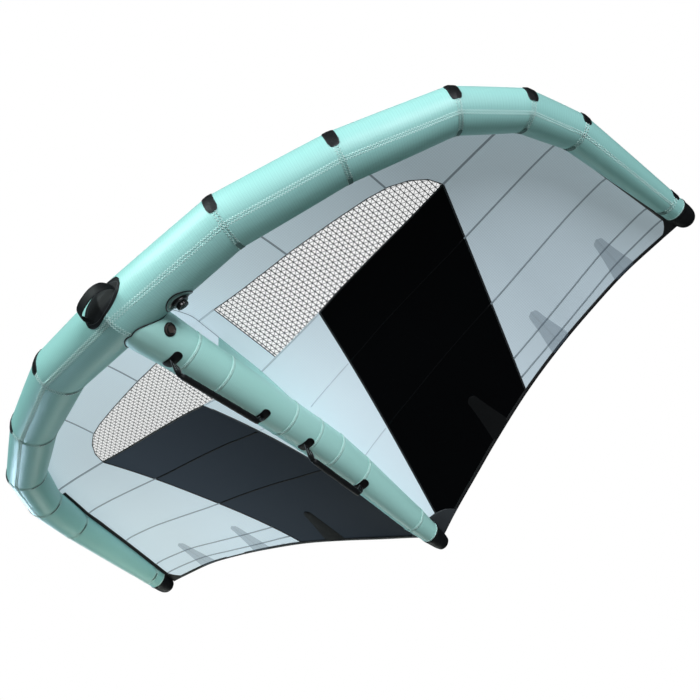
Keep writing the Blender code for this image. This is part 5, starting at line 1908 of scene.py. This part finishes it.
def ringed_finish(name, rings, plain):
    """Moulded plastic whose colour changes in rings, by a UV map whose U is the radius."""
    made, tree, shader, where = new_finish(name)
    radius = parted(tree, where)[0]
    drift = place_group(tree, cloudy, i0=where.outputs["Object"], i1=60.0)
    tone = blend_colour(tree, drift.outputs[0], (*plain, 1), (*[c * 0.7 for c in plain], 1))
    for inner, outer, colour in rings:
        past = reckon(tree, "GREATER_THAN", radius, inner)
        before = reckon(tree, "LESS_THAN", radius, outer)
        tone = blend_colour(tree, reckon(tree, "MULTIPLY", past, before), tone, (*colour, 1))
    tree.links.new(tone, shader.inputs["Base Color"])
    raise_relief(tree, shader, drift.outputs[0], 0.2, 0.0004)
    shader.inputs["Roughness"].default_value = 0.35
    return made


def turned_piece(name, centre, ways, profile, steps=48, lobes=0, lobe_depth=0.0, radius=None):
    """Turns a profile of (radius, height) round an axis. A radius bends it over the tube."""
    along, across, out = ways

    def spun(i, j):
        reach, height = profile[i]
        turn = 2 * math.pi * j / steps
        reach *= 1 + lobe_depth * math.cos(lobes * turn)
        side_step = reach * math.sin(turn)
        bend = 0
        if radius:
            bend = math.sqrt(radius**2 - side_step**2) - radius
        return centre + along * (reach * math.cos(turn)) + across * side_step + out * (height + bend)

    far = [0]
    for a, b in zip(profile, profile[1:]):
        far.append(far[-1] + math.hypot(b[0] - a[0], b[1] - a[1]))
    return skin(
        name,
        len(profile) - 1,
        steps,
        spun,
        lambda i, j: (profile[i][0], far[i]),
        around=True,
        ends=True,
    )


def small_bar(place, ways, size):
    """A small block whose sides run along the given ways."""
    bpy.ops.mesh.primitive_cube_add(size=1)
    made = bpy.context.object
    turned = Matrix(ways).transposed().to_4x4()
    made.data.transform(Matrix.Translation(place - HOLD) @ turned @ Matrix.Diagonal((*size, 1)))
    return made


valve_share = VALVE_PLACE / joints[1].x
valve_axis = joints[0].lerp(joints[1], valve_share)
valve_rear = Vector((0, 0, 1)).cross(last_axis).normalized()
valve_up = last_axis.cross(valve_rear)
valve_out = valve_rear * math.cos(VALVE_ANGLE) + valve_up * math.sin(VALVE_ANGLE)
valve_ways = (last_axis, valve_out.cross(last_axis), valve_out)
valve_radius = radii[0] + (radii[1] - radii[0]) * valve_share
valve_centre = valve_axis + valve_out * valve_radius
black = (0.005, 0.0055, 0.006)
grey_green = (0.150, 0.260, 0.240)
valve_plastic = ringed_finish(
    "valve_plastic",
    (
        (0.0535, 0.07, black),
        (0.0400, 0.0535, grey_green),
        (0.0315, 0.0400, black),
        (0.0, 0.0315, (0.060, 0.080, 0.082)),
    ),
    black,
)
flange = [(0.004, 0.0009), (0.030, 0.0009), (0.056, 0.0009), (0.058, 0.0012), (0.0582, 0.0026)]
flange += [(0.0568, 0.0036), (0.0545, 0.0036), (0.0535, 0.0026), (0.047, 0.0025), (0.0405, 0.0026)]
flange += [(0.0395, 0.0042), (0.0360, 0.0048), (0.0330, 0.0046)]
piece = turned_piece("valve_flange", valve_centre, valve_ways, flange, radius=valve_radius)
dress(piece, "wing", "black_plastic", valve_plastic, "edge_valve")
boss = [(0.031, -0.003), (0.0325, 0.004), (0.0322, 0.0075), (0.0305, 0.0095), (0.028, 0.0098)]
boss += [(0.0265, 0.0085), (0.022, 0.0084), (0.006, 0.0084)]
piece = turned_piece("valve_boss", valve_centre, valve_ways, boss)
dress(piece, "wing", "black_plastic", valve_plastic)
valve_top = valve_centre + valve_out * (VALVE_HEIGHT + CLEAR)
knob = [(0.004, 0.0), (0.0205, 0.0), (0.0218, 0.0012), (0.0220, 0.0100), (0.0214, 0.0140)]
knob += [(0.0200, 0.0156), (0.0180, 0.0160), (0.0150, 0.0157), (0.0140, 0.0135)]
knob += [(0.0060, 0.0130), (0.002, 0.0130)]
piece = turned_piece("valve_knob", valve_top, valve_ways, knob, 96, 8, 0.045)
knob_plastic = ringed_finish("knob_plastic", ((0.0150, 0.0205, (0.014, 0.015, 0.016)),), black)
knob_bar = small_bar(valve_top + valve_out * 0.0140, valve_ways, (0.026, 0.0055, 0.0035))
piece = joined("valve_knob", [knob_bar, piece])
dress(piece, "valve_cap", "black_plastic", knob_plastic, "edge_valve_cap")

plug_low = strut_point(PLUG_SETBACK - PLUG_FLANGE, math.pi / 2 - PLUG_ANGLE, 0)
plug_high = strut_point(PLUG_SETBACK + PLUG_FLANGE, math.pi / 2 - PLUG_ANGLE, 0)
plug_run = (plug_high - plug_low).normalized()
plug_centre = plug_low.lerp(plug_high, 0.5)
plug_out = Vector((math.cos(PLUG_ANGLE), 0, -math.sin(PLUG_ANGLE)))
plug_out = (plug_out - plug_run * plug_out.dot(plug_run)).normalized()
plug_ways = (plug_run, plug_out.cross(plug_run), plug_out)
plug_radius = strut_centre(PLUG_SETBACK)[1]
seat = [(0.004, 0.0009), (0.024, 0.0009), (0.0262, 0.0012), (0.0262, 0.0030), (0.0250, 0.0044)]
seat += [(0.0236, 0.0048), (0.0222, 0.0044), (0.0215, 0.0034), (0.0205, 0.0034)]
seat += [(0.0190, 0.0036), (0.006, 0.0036)]
piece = turned_piece("plug_seat", plug_centre, plug_ways, seat, radius=plug_radius)
seat_plastic = ringed_finish("seat_plastic", ((0.0, 0.0215, (0.070, 0.055, 0.048)),), black)
dress(piece, "wing", "black_plastic", seat_plastic, "strut_valve")
plug_top = plug_centre + plug_out * (PLUG_HEIGHT + CLEAR)
plug = [(0.003, 0.0), (0.0168, 0.0), (0.0178, 0.0010), (0.0180, 0.0044), (0.0172, 0.0058)]
plug += [(0.0150, 0.0060), (0.0138, 0.0050), (0.0120, 0.0044), (0.0040, 0.0044), (0.001, 0.0044)]
piece = turned_piece("plug_cap", plug_top, plug_ways, plug)
tab_place = plug_top + plug_out * 0.0045 + plug_ways[1] * 0.0165
plug_tab = small_bar(tab_place, plug_ways, (0.008, 0.007, 0.0018))
piece = joined("plug_cap", [plug_tab, piece])
plug_plastic = ringed_finish("plug_plastic", ((0.0, 0.0140, (0.060, 0.046, 0.040)),), black)
dress(piece, "valve_plug", "black_plastic", plug_plastic, "strut_valve_plug")
